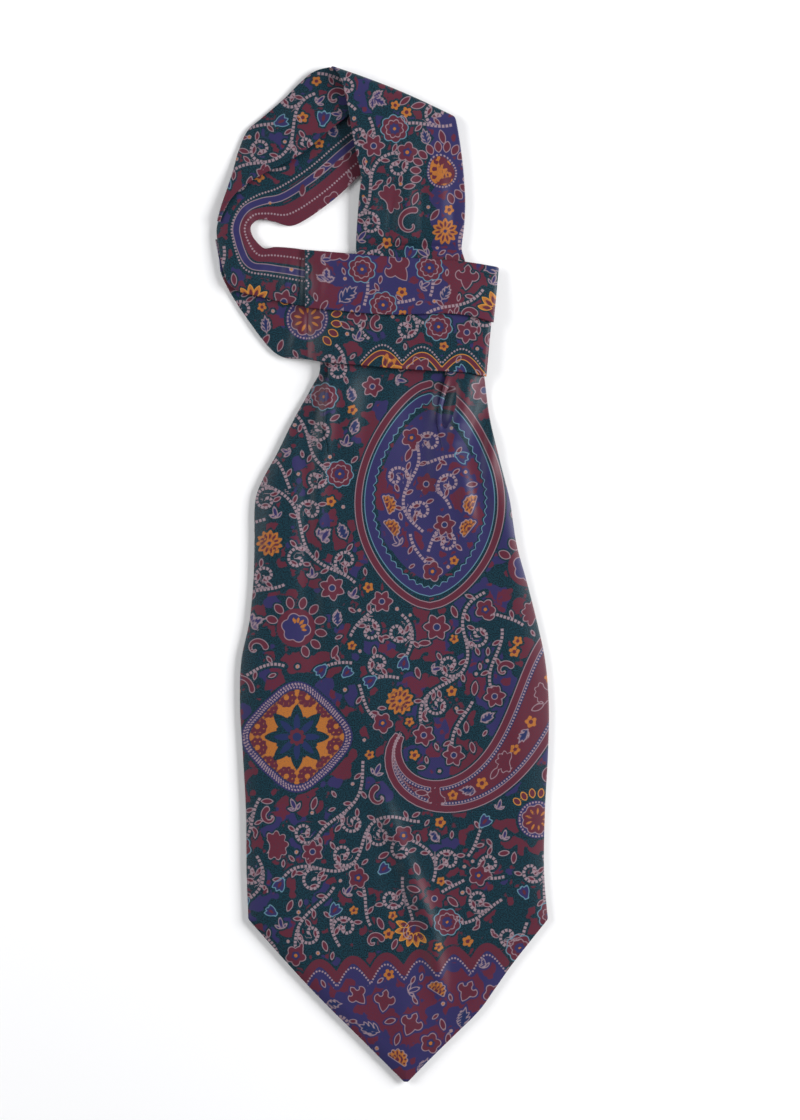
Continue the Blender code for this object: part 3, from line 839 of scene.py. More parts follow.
def saw_leaf(cloth, x, y, size, turn, ink="navy", line="pale"):
    """A leaf of seven pointed lobes: one along its axis, and three pairs leaning out from it."""
    index, dx, dy = cloth.near(x, y, size + 3)
    along, across = turned(dx, dy, turn)
    shape = petal(along + size / 2, across, size, 0.2 * size)
    for start, lean, share in ((-0.4, 42, 0.42), (-0.2, 38, 0.42), (0.02, 34, 0.34)):
        for side in (-1, 1):
            way_along, way_across = turned(along - start * size, across, side * lean)
            shape = np.maximum(shape, petal(way_along, way_across, share * size, 0.13 * size))
    cloth.lay(ink, index, shape, line)


def leaf(cloth, x, y, size, turn):
    """A plain maroon leaf with a pale edge."""
    index, dx, dy = cloth.near(x, y, size + 3)
    along, across = turned(dx, dy, turn)
    cloth.lay("maroon", index, petal(along + size / 2, across, size, 0.42 * size), "pale")


def oak_leaf(cloth, x, y, size, turn):
    """A broad maroon leaf with seven round lobes and a bite where the stalk joins."""
    index, dx, dy = cloth.near(x, y, size + 4)
    along, across = turned(dx, dy, turn)
    shape = lobed(dx * 1.12, dy, size, 9, 0.3, turn)
    cloth.lay("maroon", index, np.minimum(shape, np.hypot(along + size, across) - 0.62 * size), "pale")


def lilac_leaf(cloth, x, y, size, turn):
    """Three purple leaves from one point, edged in cream."""
    for lean, share in ((-60, 0.75), (0, 1.0), (60, 0.75)):
        angle = radians(turn + lean)
        saw_leaf(cloth, x + 0.5 * share * size * np.cos(angle), y + 0.5 * share * size * np.sin(angle),
                 share * size, turn + lean, "purple", "pale")


# %% Palmettes, rosettes and cones
def palmette(cloth, x, y, size, turn):
    """A maroon hand with six gold-edged fingers, on a curled stem."""
    stem = spiral(x - 0.1 * size, y - 0.45 * size, 0.95 * size, turn + 150, 0.55)
    index, along, off, length = along_curve(cloth, stem, 5)
    cloth.lay("maroon", index, 0.13 * size * (1 - 0.6 * along / length) + 0.2 - np.abs(off), "pale")
    index, dx, dy = cloth.near(x, y, 1.25 * size + 3)
    for lean in np.linspace(-88, 66, 6):
        along, across = turned(dx, dy, turn + lean)
        cloth.lay("gold", index, petal(along - 0.28 * size, across, 0.85 * size, 0.34 * size), "gilt")
        cloth.lay("maroon", index, petal(along - 0.25 * size, across, 0.62 * size, 0.2 * size))
    along, across = turned(dx, dy, turn)
    cloth.lay("maroon", index, lobed(dx, dy, 0.46 * size, 5, 0.2, turn))
    cloth.lay("purple", index, petal(along + 0.3 * size, across, 0.6 * size, 0.25 * size))


def half_rosette(cloth, x, y, size, turn):
    """A gold half disc with a scalloped edge and rows of maroon dots."""
    index, dx, dy = cloth.near(x, y, size + 3)
    along, across = turned(dx, dy, turn)
    shape = np.minimum(lobed(dx, dy, size, 12, 0.16, turn), along + 0.15 * size)
    cloth.lay("gold", index, shape, "pale")
    ring = np.hypot(along, across)
    spoke = np.arctan2(across, along)
    for radius in (0.45, 0.75):
        dots = 0.11 * size - np.hypot(ring - radius * size, radius * size * (np.mod(spoke + 0.2, 0.52) - 0.26))
        cloth.lay("maroon", index, np.minimum(dots, shape))
    cloth.lay("maroon", index, np.minimum(0.2 * size - ring, shape))


def drop_ring(cloth, x, y, radius, first, last, count, size, ink="maroon", line="pale"):
    """Petals set side by side round part of a circle, points outwards."""
    for angle in np.linspace(first, last, count):
        px, py = x + radius * np.cos(radians(angle)), y + radius * np.sin(radians(angle))
        index, dx, dy = cloth.near(px, py, size + 2)
        along, across = turned(dx, dy, angle)
        cloth.lay(ink, index, petal(along, across, size, 0.62 * size), line)


def petal_arc(cloth, x, y, size, turn):
    """Part of a large flower: gold-edged petals over a ring of beads and a maroon heart."""
    drop_ring(cloth, x, y, 1.15 * size, turn - 95, turn + 95, 11, 0.5 * size, "maroon", "gilt")
    index, dx, dy = cloth.near(x, y, 1.2 * size + 2)
    ring = np.hypot(dx, dy)
    cloth.lay("purple", index, size - ring)
    cloth.string(index, np.arctan2(dy, dx) * size * 0.93, size - 0.9 - ring, BEADS)
    cloth.lay("maroon", index, lobed(dx, dy, 0.8 * size, 9, 0.15, turn), "pale")
    cloth.lay("gold", index, petals_round(dx, dy, 9, turn, 0.25 * size, 0.4 * size, 0.12 * size))


def cone(cloth, x, y, size, turn):
    """A pear-shaped gold core edged with beads, under a crown of maroon petals."""
    drop_ring(cloth, x, y, 1.24 * size, turn - 132, turn + 132, 15, 0.66 * size)
    index, dx, dy = cloth.near(x, y, 1.3 * size + 2)
    along, across = turned(dx, dy, turn + 45)
    angle = np.arctan2(across, along)
    reach = size * (0.9 + 0.28 * np.maximum(np.cos(angle), 0)**4)
    core = reach - np.hypot(dx, dy)
    cloth.lay("purple", index, core)
    cloth.string(index, angle * size * 0.9, core - 0.7, BEADS)
    cloth.lay("gold", index, core - 1.4, cover=False)
    speckle = cloud(dx, dy, 1.9, 5)
    cloth.lay("maroon", index, np.minimum(core - 1.4, 1.2 * (speckle + 0.1)), cover=False)


def crowned_palmette(cloth, x, y, size, turn):
    """A maroon fan with a crown of small pale petals, a purple heart and gold rays."""
    drop_ring(cloth, x, y, 0.72 * size, turn - 115, turn + 115, 9, 0.46 * size)
    index, dx, dy = cloth.near(x, y, size + 3)
    cloth.lay("maroon", index, 0.72 * size - np.hypot(dx, dy))
    cloth.lay("purple", index, lobed(dx, dy, 0.55 * size, 6, 0.2, turn), "pale")
    for lean in (-60, -30, 0, 30, 60):
        along, across = turned(dx, dy, turn + lean)
        cloth.lay("gold", index, petal(along - 0.16 * size, across, 0.26 * size, 0.08 * size + 0.3))


def medallion(cloth, x, y, size, turn):
    """A four-lobed gold field with a dotted purple border, eight rosettes and a dark eight-point star."""
    index, dx, dy = cloth.near(x, y, 1.25 * size + 3)
    angle = np.arctan2(dy, dx) - radians(turn)
    ogee = 0.9 + 0.14 * np.abs(np.cos(2 * angle))**3
    edge = size * ogee - np.hypot(dx, dy)
    cloth.lay("purple", index, edge)
    cloth.string(index, angle * size, edge - 1.2, BEADS)
    cloth.string(index, angle * size + 0.8, edge - 3.0, BEADS)
    cloth.lay("gold", index, edge - 4.2, cover=False)
    for spoke in range(12):
        way = radians(turn + 15 + 30 * spoke)
        rx, ry = dx - 0.76 * size * np.cos(way), dy - 0.76 * size * np.sin(way)
        rosette = np.minimum(lobed(rx, ry, 0.19 * size, 10, 0.14), edge - 4.4)
        cloth.lay("maroon", index, rosette)
        spots = np.mod(np.arctan2(ry, rx), pi / 4) - pi / 8
        cloth.lay("gold", index, np.minimum(
            0.5 - np.hypot(np.hypot(rx, ry) - 0.12 * size, 0.12 * size * spots), rosette))
        cloth.lay("gold", index, np.minimum(0.05 * size - np.hypot(rx, ry), rosette))
    star = np.maximum(petals_round(dx, dy, 8, turn, 0, 0.62 * size, 0.24 * size),
                      petals_round(dx, dy, 8, turn + 22.5, 0, 0.42 * size, 0.2 * size))
    cloth.lay(None, index, star)            # no ink: the teal ground shows
    cloth.lay("navy", index, petals_round(dx, dy, 8, turn, 0.05 * size, 0.4 * size, 0.12 * size))
    cloth.lay("maroon", index, lobed(dx, dy, 0.17 * size, 8, 0.3, turn))
    cloth.lay("navy", index, 0.08 * size - np.hypot(dx, dy))


def arabesque(cloth, x, y, size, turn):
    """A maroon strapwork knot: a leaf with two hooked shoulders, edged in cream."""
    index, dx, dy = cloth.near(x, y, size + 4)
    along, across = turned(dx, dy, turn)
    body = petal(along + 0.8 * size, across, 1.6 * size, 0.75 * size)
    shoulders = 0.32 * size - np.hypot(along - 0.1 * size, abs(across) - 0.42 * size)
    bites = 0.17 * size - np.hypot(along - 0.42 * size, abs(across) - 0.34 * size)
    cloth.lay("maroon", index, np.minimum(np.maximum(body, shoulders), -bites), "pale")


def speck(cloth, x, y, size, turn):
    """A tiny pale star with a gold eye."""
    index, dx, dy = cloth.near(x, y, size + 2)
    cloth.lay("gold", index, lobed(dx, dy, 0.45 * size, 5, 0.2, turn), "pale")


def curl(cloth, x, y, size, turn):
    """A maroon tendril that tapers as it winds in."""
    ribbon(cloth, "maroon", "pale", spiral(x, y, size, turn, 0.8), 1.5, 0.7)


MOTIFS = {shape.__name__: shape for shape in (
    star_flower, round_flower, sky_flower, petal_arc, floret, daisy, tulip, sprig, saw_leaf, leaf, oak_leaf,
    lilac_leaf, palmette, half_rosette, cone, crowned_palmette, medallion, arabesque, speck, curl)}

# %% [markdown]
# ## The layout of the print
#
# Nothing small is placed one by one. A few large figures are built by formula: an arch, a
# medallion, a long paisley, a scalloped field at the point. Vines then grow through the ground
# that is left, each with a flower at its end, and last the smaller motifs are thrown down
# wherever there is still room, the largest first. The seeds are fixed, so the print never changes.
#
# Loose patches of maroon and purple fill the ground between. They keep clear of the motifs, so
# each has a thin halo of the teal ground, which makes the print look marbled.

# %% Layout rows
Area = namedtuple("Area", "ink line points patched", defaults=(False,))
Ribbon = namedtuple("Ribbon", "ink line half taper points scallop", defaults=(0.0,))
Stem = namedtuple("Stem", "kind points")
Motif = namedtuple("Motif", "kind x y size turn")
Patches = namedtuple("Patches", "ink size above seed x y reach lift", defaults=(0, 0, 1, 0))
Print = namedtuple("Print", "areas ribbons stems motifs patches")
Kind = namedtuple("Kind", "name size room most")      # its room is a share of its size

TRIES = 420               # throws for each kind of motif
UPWARD, LEAN = 75, 40     # most motifs point up the cravat, in degrees
VINE_STEP, VINE_STEPS, VINE_SHORTEST = 1.5, 60, 9
SWING_LENGTH = 58.0       # along a vine, there and back
STEM_ROOM = 2.6
CURL_EVERY, CURL_SIZE = 13, 6.4

LARGE = [Kind("cone", 10.5, 1.75, 3), Kind("crowned_palmette", 12.5, 1.2, 3), Kind("petal_arc", 10, 1.6, 1)]
HEADS = [Kind("star_flower", 5.8, 1.05, 0), Kind("tulip", 6.2, 1.0, 0), Kind("round_flower", 5.2, 1.05, 0),
         Kind("palmette", 8.5, 1.05, 0), Kind("sky_flower", 7, 1.05, 0)]
SMALL = [Kind("palmette", 9, 1.05, 7), Kind("daisy", 7.2, 1.05, 2), Kind("oak_leaf", 7, 1.0, 4),
         Kind("star_flower", 6.2, 1.0, 4), Kind("lilac_leaf", 8, 0.9, 2), Kind("curl", 4.6, 1.2, 9),
         Kind("saw_leaf", 9, 0.55, 9), Kind("tulip", 6, 0.9, 9), Kind("sprig", 6.0, 0.62, 34),
         Kind("leaf", 6.6, 0.42, 70), Kind("floret", 2.7, 1.0, 46), Kind("leaf", 4.2, 0.42, 80),
         Kind("speck", 1.9, 0.9, 60)]


# %% Growing a layout
class Ground:
    """The cloth while it is laid out. Whatever is placed takes discs of it, and the rest is free."""

    def __init__(self, seed, low, high):
        self.rng = np.random.default_rng(seed)
        self.low, self.high = np.array(low, float), np.array(high, float)
        self.discs = np.empty((0, 3))
        self.stems, self.motifs = [], []

    def take(self, places, reach):
        """Keep whatever comes later off these places."""
        places = np.atleast_2d(places)
        self.discs = np.vstack([self.discs, np.column_stack([places, np.broadcast_to(reach, len(places))])])

    def free(self, place, reach):
        """Whether a disc here would be on the cloth and clear of all the others."""
        gaps = np.hypot(self.discs[:, 0] - place[0], self.discs[:, 1] - place[1]) - self.discs[:, 2]
        return gaps.min(initial=FAR) > reach and bool(np.all(place > self.low) and np.all(place < self.high))

    def put(self, name, place, size, turn, room):
        """Place one motif."""
        self.motifs.append(Motif(name, place[0], place[1], size, turn))
        self.take(place, room)

    def scatter(self, kinds, share=1.0, low=None, high=None):
        """Throw each kind down at random, and keep a throw that lands in the clear."""
        low, high = self.low if low is None else low, self.high if high is None else high
        for kind in kinds:
            left = int(np.ceil(kind.most * share))
            for place in self.rng.uniform(low, high, (TRIES, 2)):
                size = kind.size * self.rng.uniform(0.88, 1.12)
                if left and self.free(place, kind.room * size):
                    self.put(kind.name, place, size, self.rng.normal(UPWARD, LEAN), kind.room * size)
                    left -= 1

    def curls(self, line):
        """Curls off alternate sides of a vine, each starting on it and winding the way it grows."""
        for number, at in enumerate(range(CURL_EVERY // 2, len(line) - 2, CURL_EVERY)):
            side = 1 if number % 2 else -1
            ahead = (line[at + 1] - line[at]) / VINE_STEP
            centre = line[at] + side * (CURL_SIZE + 0.3) * np.array([-ahead[1], ahead[0]])
            if self.free(centre, CURL_SIZE):
                start = np.degrees(np.arctan2(*(line[at] - centre)[::-1]))
                self.stems.append(Stem(SCROLL, spiral(*centre, side * CURL_SIZE, side * start)))
                self.take(centre, CURL_SIZE)

    def vines(self, tries):
        """Stems that swing from side to side until they meet something, and end in a flower."""
        for _ in range(tries):
            line = [self.rng.uniform(self.low, self.high)]
            heading, phase = self.rng.uniform(0, 2 * pi, 2)
            bend = self.rng.uniform(0.05, 0.085)
            while len(line) < VINE_STEPS and self.free(line[-1], STEM_ROOM):
                heading += VINE_STEP * bend * np.sin(phase + 2 * pi * len(line) * VINE_STEP / SWING_LENGTH)
                line.append(line[-1] + VINE_STEP * np.array([np.cos(heading), np.sin(heading)]))
            head = HEADS[self.rng.integers(len(HEADS))]
            ends = [at for at in range(VINE_SHORTEST, len(line)) if self.free(line[at], head.room * head.size)]
            if ends:
                line = np.array(line[:ends[-1] + 1])
                self.curls(line)
                self.stems.append(Stem(SCROLL, line))
                self.put(head.name, line[-1], head.size, np.degrees(heading), head.room * head.size)
                self.take(line[:-3:2], 1.2)

    def laid_out(self, areas, ribbons, beads, patches):
        """The finished layout, its rows of beads among the stems."""
        return Print(areas, ribbons, [*self.stems, *[Stem(BEADS, line) for line in beads]], self.motifs, patches)


# %% Figures built by formula
def arch(x, y, wide, tall, count=90):
    """A pointed shield round a centre: half width = W sin(pi t)^0.6 (0.86 + 0.22 t), t from top to foot."""
    t = np.linspace(0, 1, count)
    half = wide * np.sin(pi * t)**0.6 * (0.86 + 0.22 * t)
    level = y + tall * (0.5 - t)
    return np.vstack([np.column_stack([x - half, level]), np.column_stack([x + half, level])[-2:0:-1]])


def teardrop(x, y, length, wide, heading, curl, count=40):
    """A paisley's centre line, which turns by curl t^3 as it goes, and its half width, round then tapering."""
    t = np.linspace(0, 1, count)
    angle = np.radians(heading + curl * t**3)
    steps = length / count * np.column_stack([np.cos(angle), np.sin(angle)])
    return np.array([x, y]) + np.cumsum(steps, axis=0), 2.4 + wide * (1 - t)**0.8 * (1 - np.exp(-9 * t - 0.6))


def along_half(points, half, side):
    """A line that keeps its own distance to one side of a centre line."""
    ahead = np.gradient(np.asarray(points, float), axis=0)
    ahead /= np.linalg.norm(ahead, axis=1, keepdims=True)
    return points + side * np.asarray(half)[:, None] * np.column_stack([-ahead[:, 1], ahead[:, 0]])


def round_band(points, half):
    """A closed outline round a centre line of changing width."""
    return np.vstack([along_half(points, half, 1), along_half(points, half, -1)[::-1]])


def inset(half, by):
    """Narrower half-widths, never below a hair."""
    return np.maximum(half - by, 0.4)


def scallops(start, end, deep, pitch):
    """A straight run from start to end that bulges to its left in round scallops."""
    start, end = np.array(start, float), np.array(end, float)
    length = np.hypot(*(end - start))
    ahead = (end - start) / length
    s = np.linspace(0, length, int(length))
    bulge = deep * np.abs(np.sin(pi * s / pitch))
    return start + s[:, None] * ahead + bulge[:, None] * np.array([-ahead[1], ahead[0]])


def across_band(stations, share):
    """A line down a strip, at a share of the way from its b edge to its a edge."""
    table = through(stations, 70)
    return table[:, 3:5] + share * (table[:, :2] - table[:, 3:5])


# %% The blade's layout
ARCH_CENTRE = 24, 40
ROSETTES_IN = 9      # from the inner border to the rosettes along it, clear of both
ARCH_SIZES = (37, 112), (31.5, 98), (27, 86)      # half width and height: maroon border, purple border, inside
def blade_print():
    """An arch above, a medallion at one side, a paisley down the other, and a scalloped point."""
    ground = Ground(11, (-74, -256), (86, 120))
    shield, inner, heart = [arch(*ARCH_CENTRE, *size) for size in ARCH_SIZES]
    ground.take(shield, 3.4)
    ground.take(inner, 3.4)
    for number, row in enumerate((49, 60, 71, 81)):      # four points down the arch's inner border
        for side in (-1, 1):
            edge_x, edge_y = inner[row]
            place = np.array([ARCH_CENTRE[0] + side * (ARCH_CENTRE[0] - edge_x - ROSETTES_IN), edge_y])
            if ground.free(place, 4.4):
                ground.put("half_rosette", place, 5.0, 90 + side * (70 - 18 * number), 5.6)
    ground.put("medallion", (-43, -82), 27, 0, 31)

    middle, half = teardrop(94, -26, 160, 15, 250, -190)
    ground.take(middle, half + 2.2)
    filling = ("floret", 3.2), ("saw_leaf", 9), ("floret", 2.8), ("oak_leaf", 5.6), ("leaf", 7)
    for number, at in enumerate(range(2, 31, 2)):
        name, size = filling[number % len(filling)]
        ground.motifs.append(Motif(name, *middle[at], min(size, half[at]), 236 - 30 * (number % 3)))

    border = scallops((62, -196), (-42, -206), -9, 17)
    ground.take(border, 3)
    point = np.vstack([border, [(-42, -262), (62, -262)]])
    ground.scatter([Kind("saw_leaf", 12, 0.55, 4), Kind("arabesque", 7.5, 1.0, 5), Kind("half_rosette", 5.5, 1.1, 2)],
                   low=(-14, -250), high=(44, -208))
    ground.scatter(LARGE)
    ground.vines(900)
    ground.scatter(SMALL)
    return ground.laid_out(
        areas=[Area("purple", None, heart, True), Area("maroon", "pale", round_band(middle, half)),
               Area("navy", "pale", round_band(middle, inset(half, 3.6))),
               Area("maroon", None, round_band(middle, inset(half, 5.4))), Area("purple", None, point, True)],
        ribbons=[Ribbon("purple", "sky", 2.1, 0.0, inner, 1.5), Ribbon("maroon", "pale", 1.7, 0.0, shield),
                 Ribbon("maroon", None, 2.0, 0.0, border)],
        beads=[along_half(middle, inset(half, 4.6), 1), along_half(middle, inset(half, 4.6), -1), border - (0, 4)],
        patches=[Patches("purple", 15, 0.85, 31, 46, 20, 40, 1.6), Patches("purple", 14, 0.75, 33, 45, -60, 34, 1.0),
                 Patches("maroon", 9, 0.42, 11, 28, -218, 22, 0.5), Patches("maroon", 5.0, 0.6, 57, 28, -218, 22, 0.3)])


# %% The neckband's layouts
def strip_print(seed, low, high, share, large=(), areas=(), ribbons=(), beads=(), patches=()):
    """The same vines and motifs on a narrow strip, as many as its share of the blade's ground."""
    ground = Ground(seed, low, high)
    for line in beads:
        ground.take(line, 1.6)
    ground.scatter(large)
    ground.vines(int(900 * share))
    ground.scatter(SMALL, share)
    return ground.laid_out(areas, ribbons, beads, patches)


RISE_PRINT = strip_print(
    21, (-26, 121), (46, 255), 0.22, [Kind("cone", 9.5, 1.75, 1), Kind("curl", 7, 1.2, 2)],
    areas=[Area("purple", None, np.vstack([scallops((29, 160), (26, 232), 4, 12), [(52, 232), (52, 160)]]), True)],
    patches=[Patches("maroon", 8, 0.5, 5), Patches("maroon", 4.5, 0.6, 6), Patches("purple", 12, 0.7, 8)])

BEND_PRINT = strip_print(
    22, (-84, 134), (20, 243), 0.16,
    areas=[Area("maroon", None, np.vstack([across_band(BEND, -0.05), across_band(BEND, 0.3)[::-1]]))],
    ribbons=[Ribbon("purple", "pale", 1.7, 0.0, across_band(BEND, 0.42))],
    beads=[across_band(BEND, 0.16), across_band(BEND, 0.56)],
    patches=[Patches("maroon", 8, 0.4, 15), Patches("maroon", 4.5, 0.55, 16), Patches("purple", 9, 0.5, 18)])

DIAGONAL_PRINT = strip_print(
    23, (-84, 178), (-6, 256), 0.12, [Kind("tulip", 7.5, 0.9, 2)],
    patches=[Patches("maroon", 8, 0.42, 25), Patches("maroon", 4.5, 0.55, 26), Patches("purple", 10, 0.6, 28)])

LOWER_PRINT = strip_print(
    24, (-84, 100), (56, 171), 0.2, [Kind("petal_arc", 10, 1.5, 1), Kind("lilac_leaf", 9, 0.9, 1)],
    ribbons=[Ribbon("maroon", "gilt", 1.3, 0.0, scallops((-10, 104), (50, 101), 8, 20))],
    beads=[scallops((-10, 108), (50, 105), 8, 20)],
    patches=[Patches("maroon", 8, 0.45, 35), Patches("purple", 12, 0.7, 38, 46, 116, 25, 1.0)])

PANEL_ENDS = -38, 42      # the flame-edged panel on the upper pleat
UPPER_PRINT = strip_print(
    25, (-38, 128), (58, 163), 0.12, [Kind("saw_leaf", 13, 0.5, 3), Kind("arabesque", 8.5, 0.9, 3)],
    areas=[Area(ink, None, np.vstack([scallops((PANEL_ENDS[0] + by, 166), (PANEL_ENDS[0] + by, 122), 4, 8),
                                      scallops((PANEL_ENDS[1] - by, 122), (PANEL_ENDS[1] - by, 166), 4, 8)]), True)
           for ink, by in (("maroon", 0), ("purple", 8))],
    beads=[scallops((PANEL_ENDS[0] - 3, 166), (PANEL_ENDS[0] - 3, 124), 4, 8)],
    patches=[Patches("maroon", 7, 0.25, 45), Patches("maroon", 4, 0.5, 46), Patches("purple", 12, 0.6, 48)])

BACK_PRINT = Print((), (), (), (), [Patches("maroon", 13, 0.1, 65), Patches("purple", 16, 0.1, 68)])


# %% Printing
def printed(name, x, y, layout):
    """Lay one piece's print, in the order of its inks."""
    cloth = Cloth(x, y)
    for area in layout.areas:
        index, shape, _ = inside_outline(cloth, area.points, 60)
        kept_clear = cloth.field["busy"].copy()
        cloth.lay(area.ink, index, shape, area.line)
        if area.patched:
            cloth.field["busy"] = kept_clear
    for ribbon_row in layout.ribbons:
        ribbon(cloth, ribbon_row.ink, ribbon_row.line, ribbon_row.points, ribbon_row.half, ribbon_row.taper,
               ribbon_row.scallop)
    for row in layout.stems:
        stem(cloth, row.points, row.kind)
        if row.kind == SCROLL:
            sprouts(cloth, row.points)
    for motif in layout.motifs:
        MOTIFS[motif.kind](cloth, motif.x, motif.y, motif.size, motif.turn)
    for patch in layout.patches:
        drawn_in = patch.lift * np.exp(-((cloth.x - patch.x)**2 + (cloth.y - patch.y)**2) / patch.reach**2)
        shape = patch.size * 0.5 * (cloud(cloth.x, cloth.y, patch.size, patch.seed) - patch.above + drawn_in)
        field = cloth.field[patch.ink]
        np.maximum(field, np.minimum(shape, -cloth.field["busy"] - PATCH_HALO), out=field)
    covered = np.mean(np.max([cloth.field[ink] for ink in FILLS], axis=0) > 0)
    print(name, len(layout.motifs), "motifs, ink on", round(100 * covered), "% of the ground")
    return cloth


PATCH_HALO = 1.0

# %% [markdown]
# ## The silk
#
# Twill silk is smooth but not glossy: the threads lie in one direction, so it shines softly along
# a fold and looks deep elsewhere. The material mixes the inks over the ground in the order they
# are printed, each with a slightly soft edge where the dye has crept into the threads.

# %% Silk material
GROUND, GROUND_LIGHT = "#03151F", "#0F3A48"
INK_COLOURS = {"purple": "#2E2858", "maroon": "#5A2030", "gold": "#A9662A", "navy": "#1F2854"}
LINE_COLOURS = {"pale": "#8E7982", "sky": "#5F8799", "gilt": "#C08436"}
INK_EDGE = 0.16           # how far an ink's edge fades, each way, in mm
LINE_HALF = 0.18
STEM_HALF, STEM_GAP, STEM_PITCH = 0.72, 0.3, 1.9      # a stem is pale blocks with gaps between, in mm
BEAD_RADIUS, BEAD_PITCH = 0.48, 1.6
TWILL_PITCH = 1.2         # the real twill is 0.35 mm, too fine for this picture


def clamp_map(tree, value, low, high, start=0.0, end=1.0):
    """A straight ramp from start to end as the value goes from low to high."""
    node = add_node(tree, "ShaderNodeMapRange", {0: value, 1: low, 2: high, 3: start, 4: end})
    return node.outputs[0]


def arithmetic(tree, operation, first, second=0.0):
    """One step of arithmetic between values or sockets."""
    return add_node(tree, "ShaderNodeMath", {0: first, 1: second}, operation=operation).outputs[0]


def attribute(tree, name):
    """The fields stored on the points under one name, apart."""
    node = add_node(tree, "ShaderNodeAttribute", attribute_name=name)
    return node, add_node(tree, "ShaderNodeSeparateXYZ", {0: node.outputs["Vector"]}).outputs


def over(tree, below, above, amount):
    """One colour over another, by an amount."""
    node = add_node(tree, "ShaderNodeMix", data_type="RGBA", clamp_factor=True)
    for socket, value in zip((node.inputs[0], node.inputs[6], node.inputs[7]), (amount, below, above)):
        if isinstance(value, bpy.types.NodeSocket):
            tree.links.new(value, socket)
        else:
            socket.default_value = value
    return node.outputs[2]


def printed_silk(name, saturation):
    """Silk twill, screen printed: ground, four inks, dotted stems and three kinds of line."""
    material = bpy.data.materials.new(name)
    material.use_nodes = True
    tree = material.node_tree
    surface = tree.nodes["Principled BSDF"]
    fills = dict(zip(FILLS[:3], attribute(tree, "fills")[1]))
    fills["navy"] = attribute(tree, "navy")[0].outputs["Fac"]
    lines = dict(zip(LINES, attribute(tree, "lines")[1]))
    along, off, kind = attribute(tree, "rope")[1]
    place_node, (place_x, place_y, _) = attribute(tree, "cloth")

    grain = add_node(tree, "ShaderNodeTexNoise",
                     {"Vector": place_node.outputs["Vector"], "Scale": 1.7, "Detail": 2.0}).outputs[0]
    colour = over(tree, linear(GROUND), linear(GROUND_LIGHT), clamp_map(tree, grain, 0.4, 0.62))
    for ink in FILLS:
        amount = clamp_map(tree, fills[ink], -INK_EDGE, INK_EDGE)
        uneven = over(tree, linear(INK_COLOURS[ink]), colour, clamp_map(tree, grain, 0.45, 0.8, 0.0, 0.5))
        colour = over(tree, colour, uneven, amount)

    near = arithmetic(tree, "ABSOLUTE", off)
    beaded = clamp_map(tree, kind, 0.5, 0.6)
    pitch = over_value(tree, STEM_PITCH, BEAD_PITCH, beaded)
    beat = arithmetic(tree, "PINGPONG", along, arithmetic(tree, "DIVIDE", pitch, 2.0))
    ring = arithmetic(tree, "SQRT", arithmetic(
        tree, "ADD", arithmetic(tree, "POWER", beat, 2.0), arithmetic(tree, "POWER", near, 2.0)))
    dot = arithmetic(tree, "SUBTRACT", BEAD_RADIUS, ring)
    band = arithmetic(tree, "SUBTRACT", STEM_HALF, near)
    blocks = arithmetic(tree, "MINIMUM", band, arithmetic(tree, "SUBTRACT", beat, STEM_GAP))
    cream = over_value(tree, blocks, dot, beaded)
    colour = over(tree, colour, linear(LINE_COLOURS["pale"]), clamp_map(tree, cream, -INK_EDGE, INK_EDGE))
    for line in ("gilt", "pale", "sky"):
        drawn = arithmetic(tree, "SUBTRACT", LINE_HALF, arithmetic(tree, "ABSOLUTE", lines[line]))
        colour = over(tree, colour, linear(LINE_COLOURS[line]), clamp_map(tree, drawn, -INK_EDGE, INK_EDGE))

    toned = add_node(tree, "ShaderNodeHueSaturation", {"Saturation": saturation, "Color": colour})
    tree.links.new(toned.outputs[0], surface.inputs["Base Color"])
    surface.inputs["Roughness"].default_value = 0.46
    surface.inputs["Specular IOR Level"].default_value = 0.28

    diagonal = arithmetic(tree, "MULTIPLY", arithmetic(tree, "ADD", place_x, place_y), 2 * pi / TWILL_PITCH)
    ribs = arithmetic(tree, "SINE", diagonal)
    bump = add_node(tree, "ShaderNodeBump", {"Height": ribs, "Strength": 0.10, "Distance": 0.0001})
    tree.links.new(bump.outputs[0], surface.inputs["Normal"])
    return material


def over_value(tree, first, second, amount):
    """Between two numbers by an amount."""
    node = add_node(tree, "ShaderNodeMix", {0: amount, 2: first, 3: second}, data_type="FLOAT")
    return node.outputs[0]


SILK = printed_silk("screen-printed silk twill", 1.0)
SILK_UNDER = printed_silk("silk twill, the side under the print", 0.85)

# %% [markdown]
# ## Putting the pieces down
#
# Each piece takes its surface, its print and its finish, and stands in for the plain wall of the same name.

# %% Pieces
Sheet = namedtuple("Sheet", "flat held rests_on area")


def store(mesh, name, values):
    """Write one field, or three together, onto the mesh's points."""
    kind = "FLOAT" if values.ndim == 1 else "FLOAT_VECTOR"
    layer = mesh.attributes.new(name, kind, "POINT")
    layer.data.foreach_set("value" if values.ndim == 1 else "vector", values.astype(np.float32).ravel())


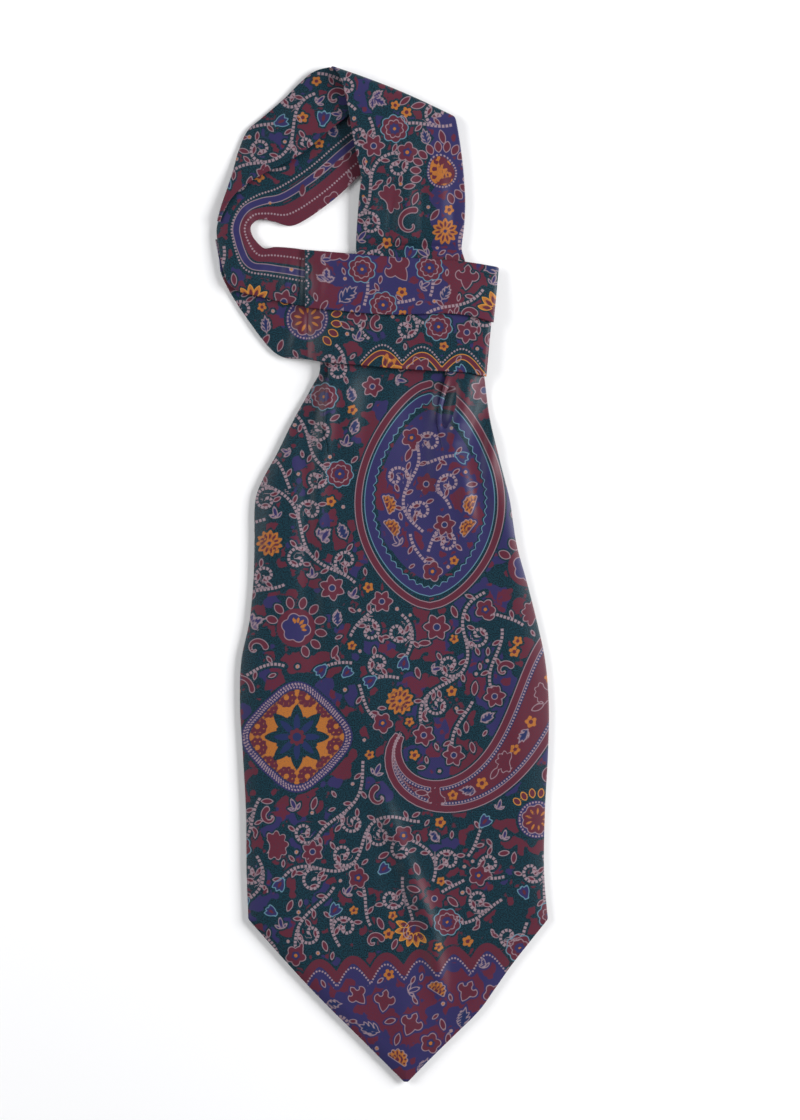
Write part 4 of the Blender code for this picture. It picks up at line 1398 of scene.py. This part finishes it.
def paint(mesh, cloth, columns, rows):
    """Give each point of the shell the fields of the column it came from."""
    shape = (rows, cloth.x.size // rows)

    def spread(values):
        return values.reshape(*shape, -1)[:, columns].reshape(rows * len(columns), -1)

    store(mesh, "fills", spread(np.column_stack([cloth.field[name] for name in FILLS[:3]])))
    store(mesh, "lines", spread(np.column_stack([cloth.field[name] for name in LINES])))
    store(mesh, "rope", spread(cloth.rope))
    store(mesh, "navy", spread(cloth.field["navy"][:, None])[:, 0])
    store(mesh, "cloth", spread(np.column_stack([cloth.x, cloth.y, 0 * cloth.x])))


def add_piece(name, loop, columns, cloth, material):
    """One piece of silk in the scene, standing in for its node."""
    mesh = mesh_from_loops(name, loop)
    paint(mesh, cloth, columns, loop.shape[0])
    mesh.materials.append(material)
    piece = bpy.data.objects.new("silk_" + name, mesh)
    bpy.context.scene.collection.objects.link(piece)
    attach(piece, "root")
    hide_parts(name)
    return piece


# %% The neckband
STRIPS = {     # its stations and creases, its print, how it is held, and what it lies on
    "neck_rise": (RISE, RISE_CREASES, RISE_PRINT, "folded", ["silk_back_blade"], ROLL_BOW),
    "neck_bend": (BEND, BEND_CREASES, BEND_PRINT, "folded", ["table", "silk_neck_rise"], 0.0),
    "diagonal_pleat": (DIAGONAL, DIAGONAL_CREASES, DIAGONAL_PRINT, "folded", ["table", "silk_neck_bend"], 0.0),
    "crossband_lower": (LOWER, LOWER_CREASES, LOWER_PRINT, "folded", ["table", "silk_front_blade"], 0.0),
    "crossband_upper": (UPPER, UPPER_CREASES, UPPER_PRINT, "folded", ["silk_crossband_lower", "silk_neck_rise"], 0.0),
}

back = back_surface()
print_place = printed("back_blade", back[:, :, 0], back[:, :, 1], BACK_PRINT)
add_piece("back_blade", back, np.arange(back.shape[1]), print_place, SILK_UNDER)

for name, (stations, table_of_creases, layout, held, rests_on, bow) in STRIPS.items():
    middle = strip(stations, table_of_creases, bow)
    loop, columns = shell(middle)
    place = printed(name, middle[:, :, 0], middle[:, :, 1], layout)
    add_piece(name, loop, columns, place, SILK)

middle = blade_surface()
loop, columns = shell(middle)
place = printed("front_blade", middle[:, :, 0], middle[:, :, 1], blade_print())
add_piece("front_blade", loop, columns, place, SILK)
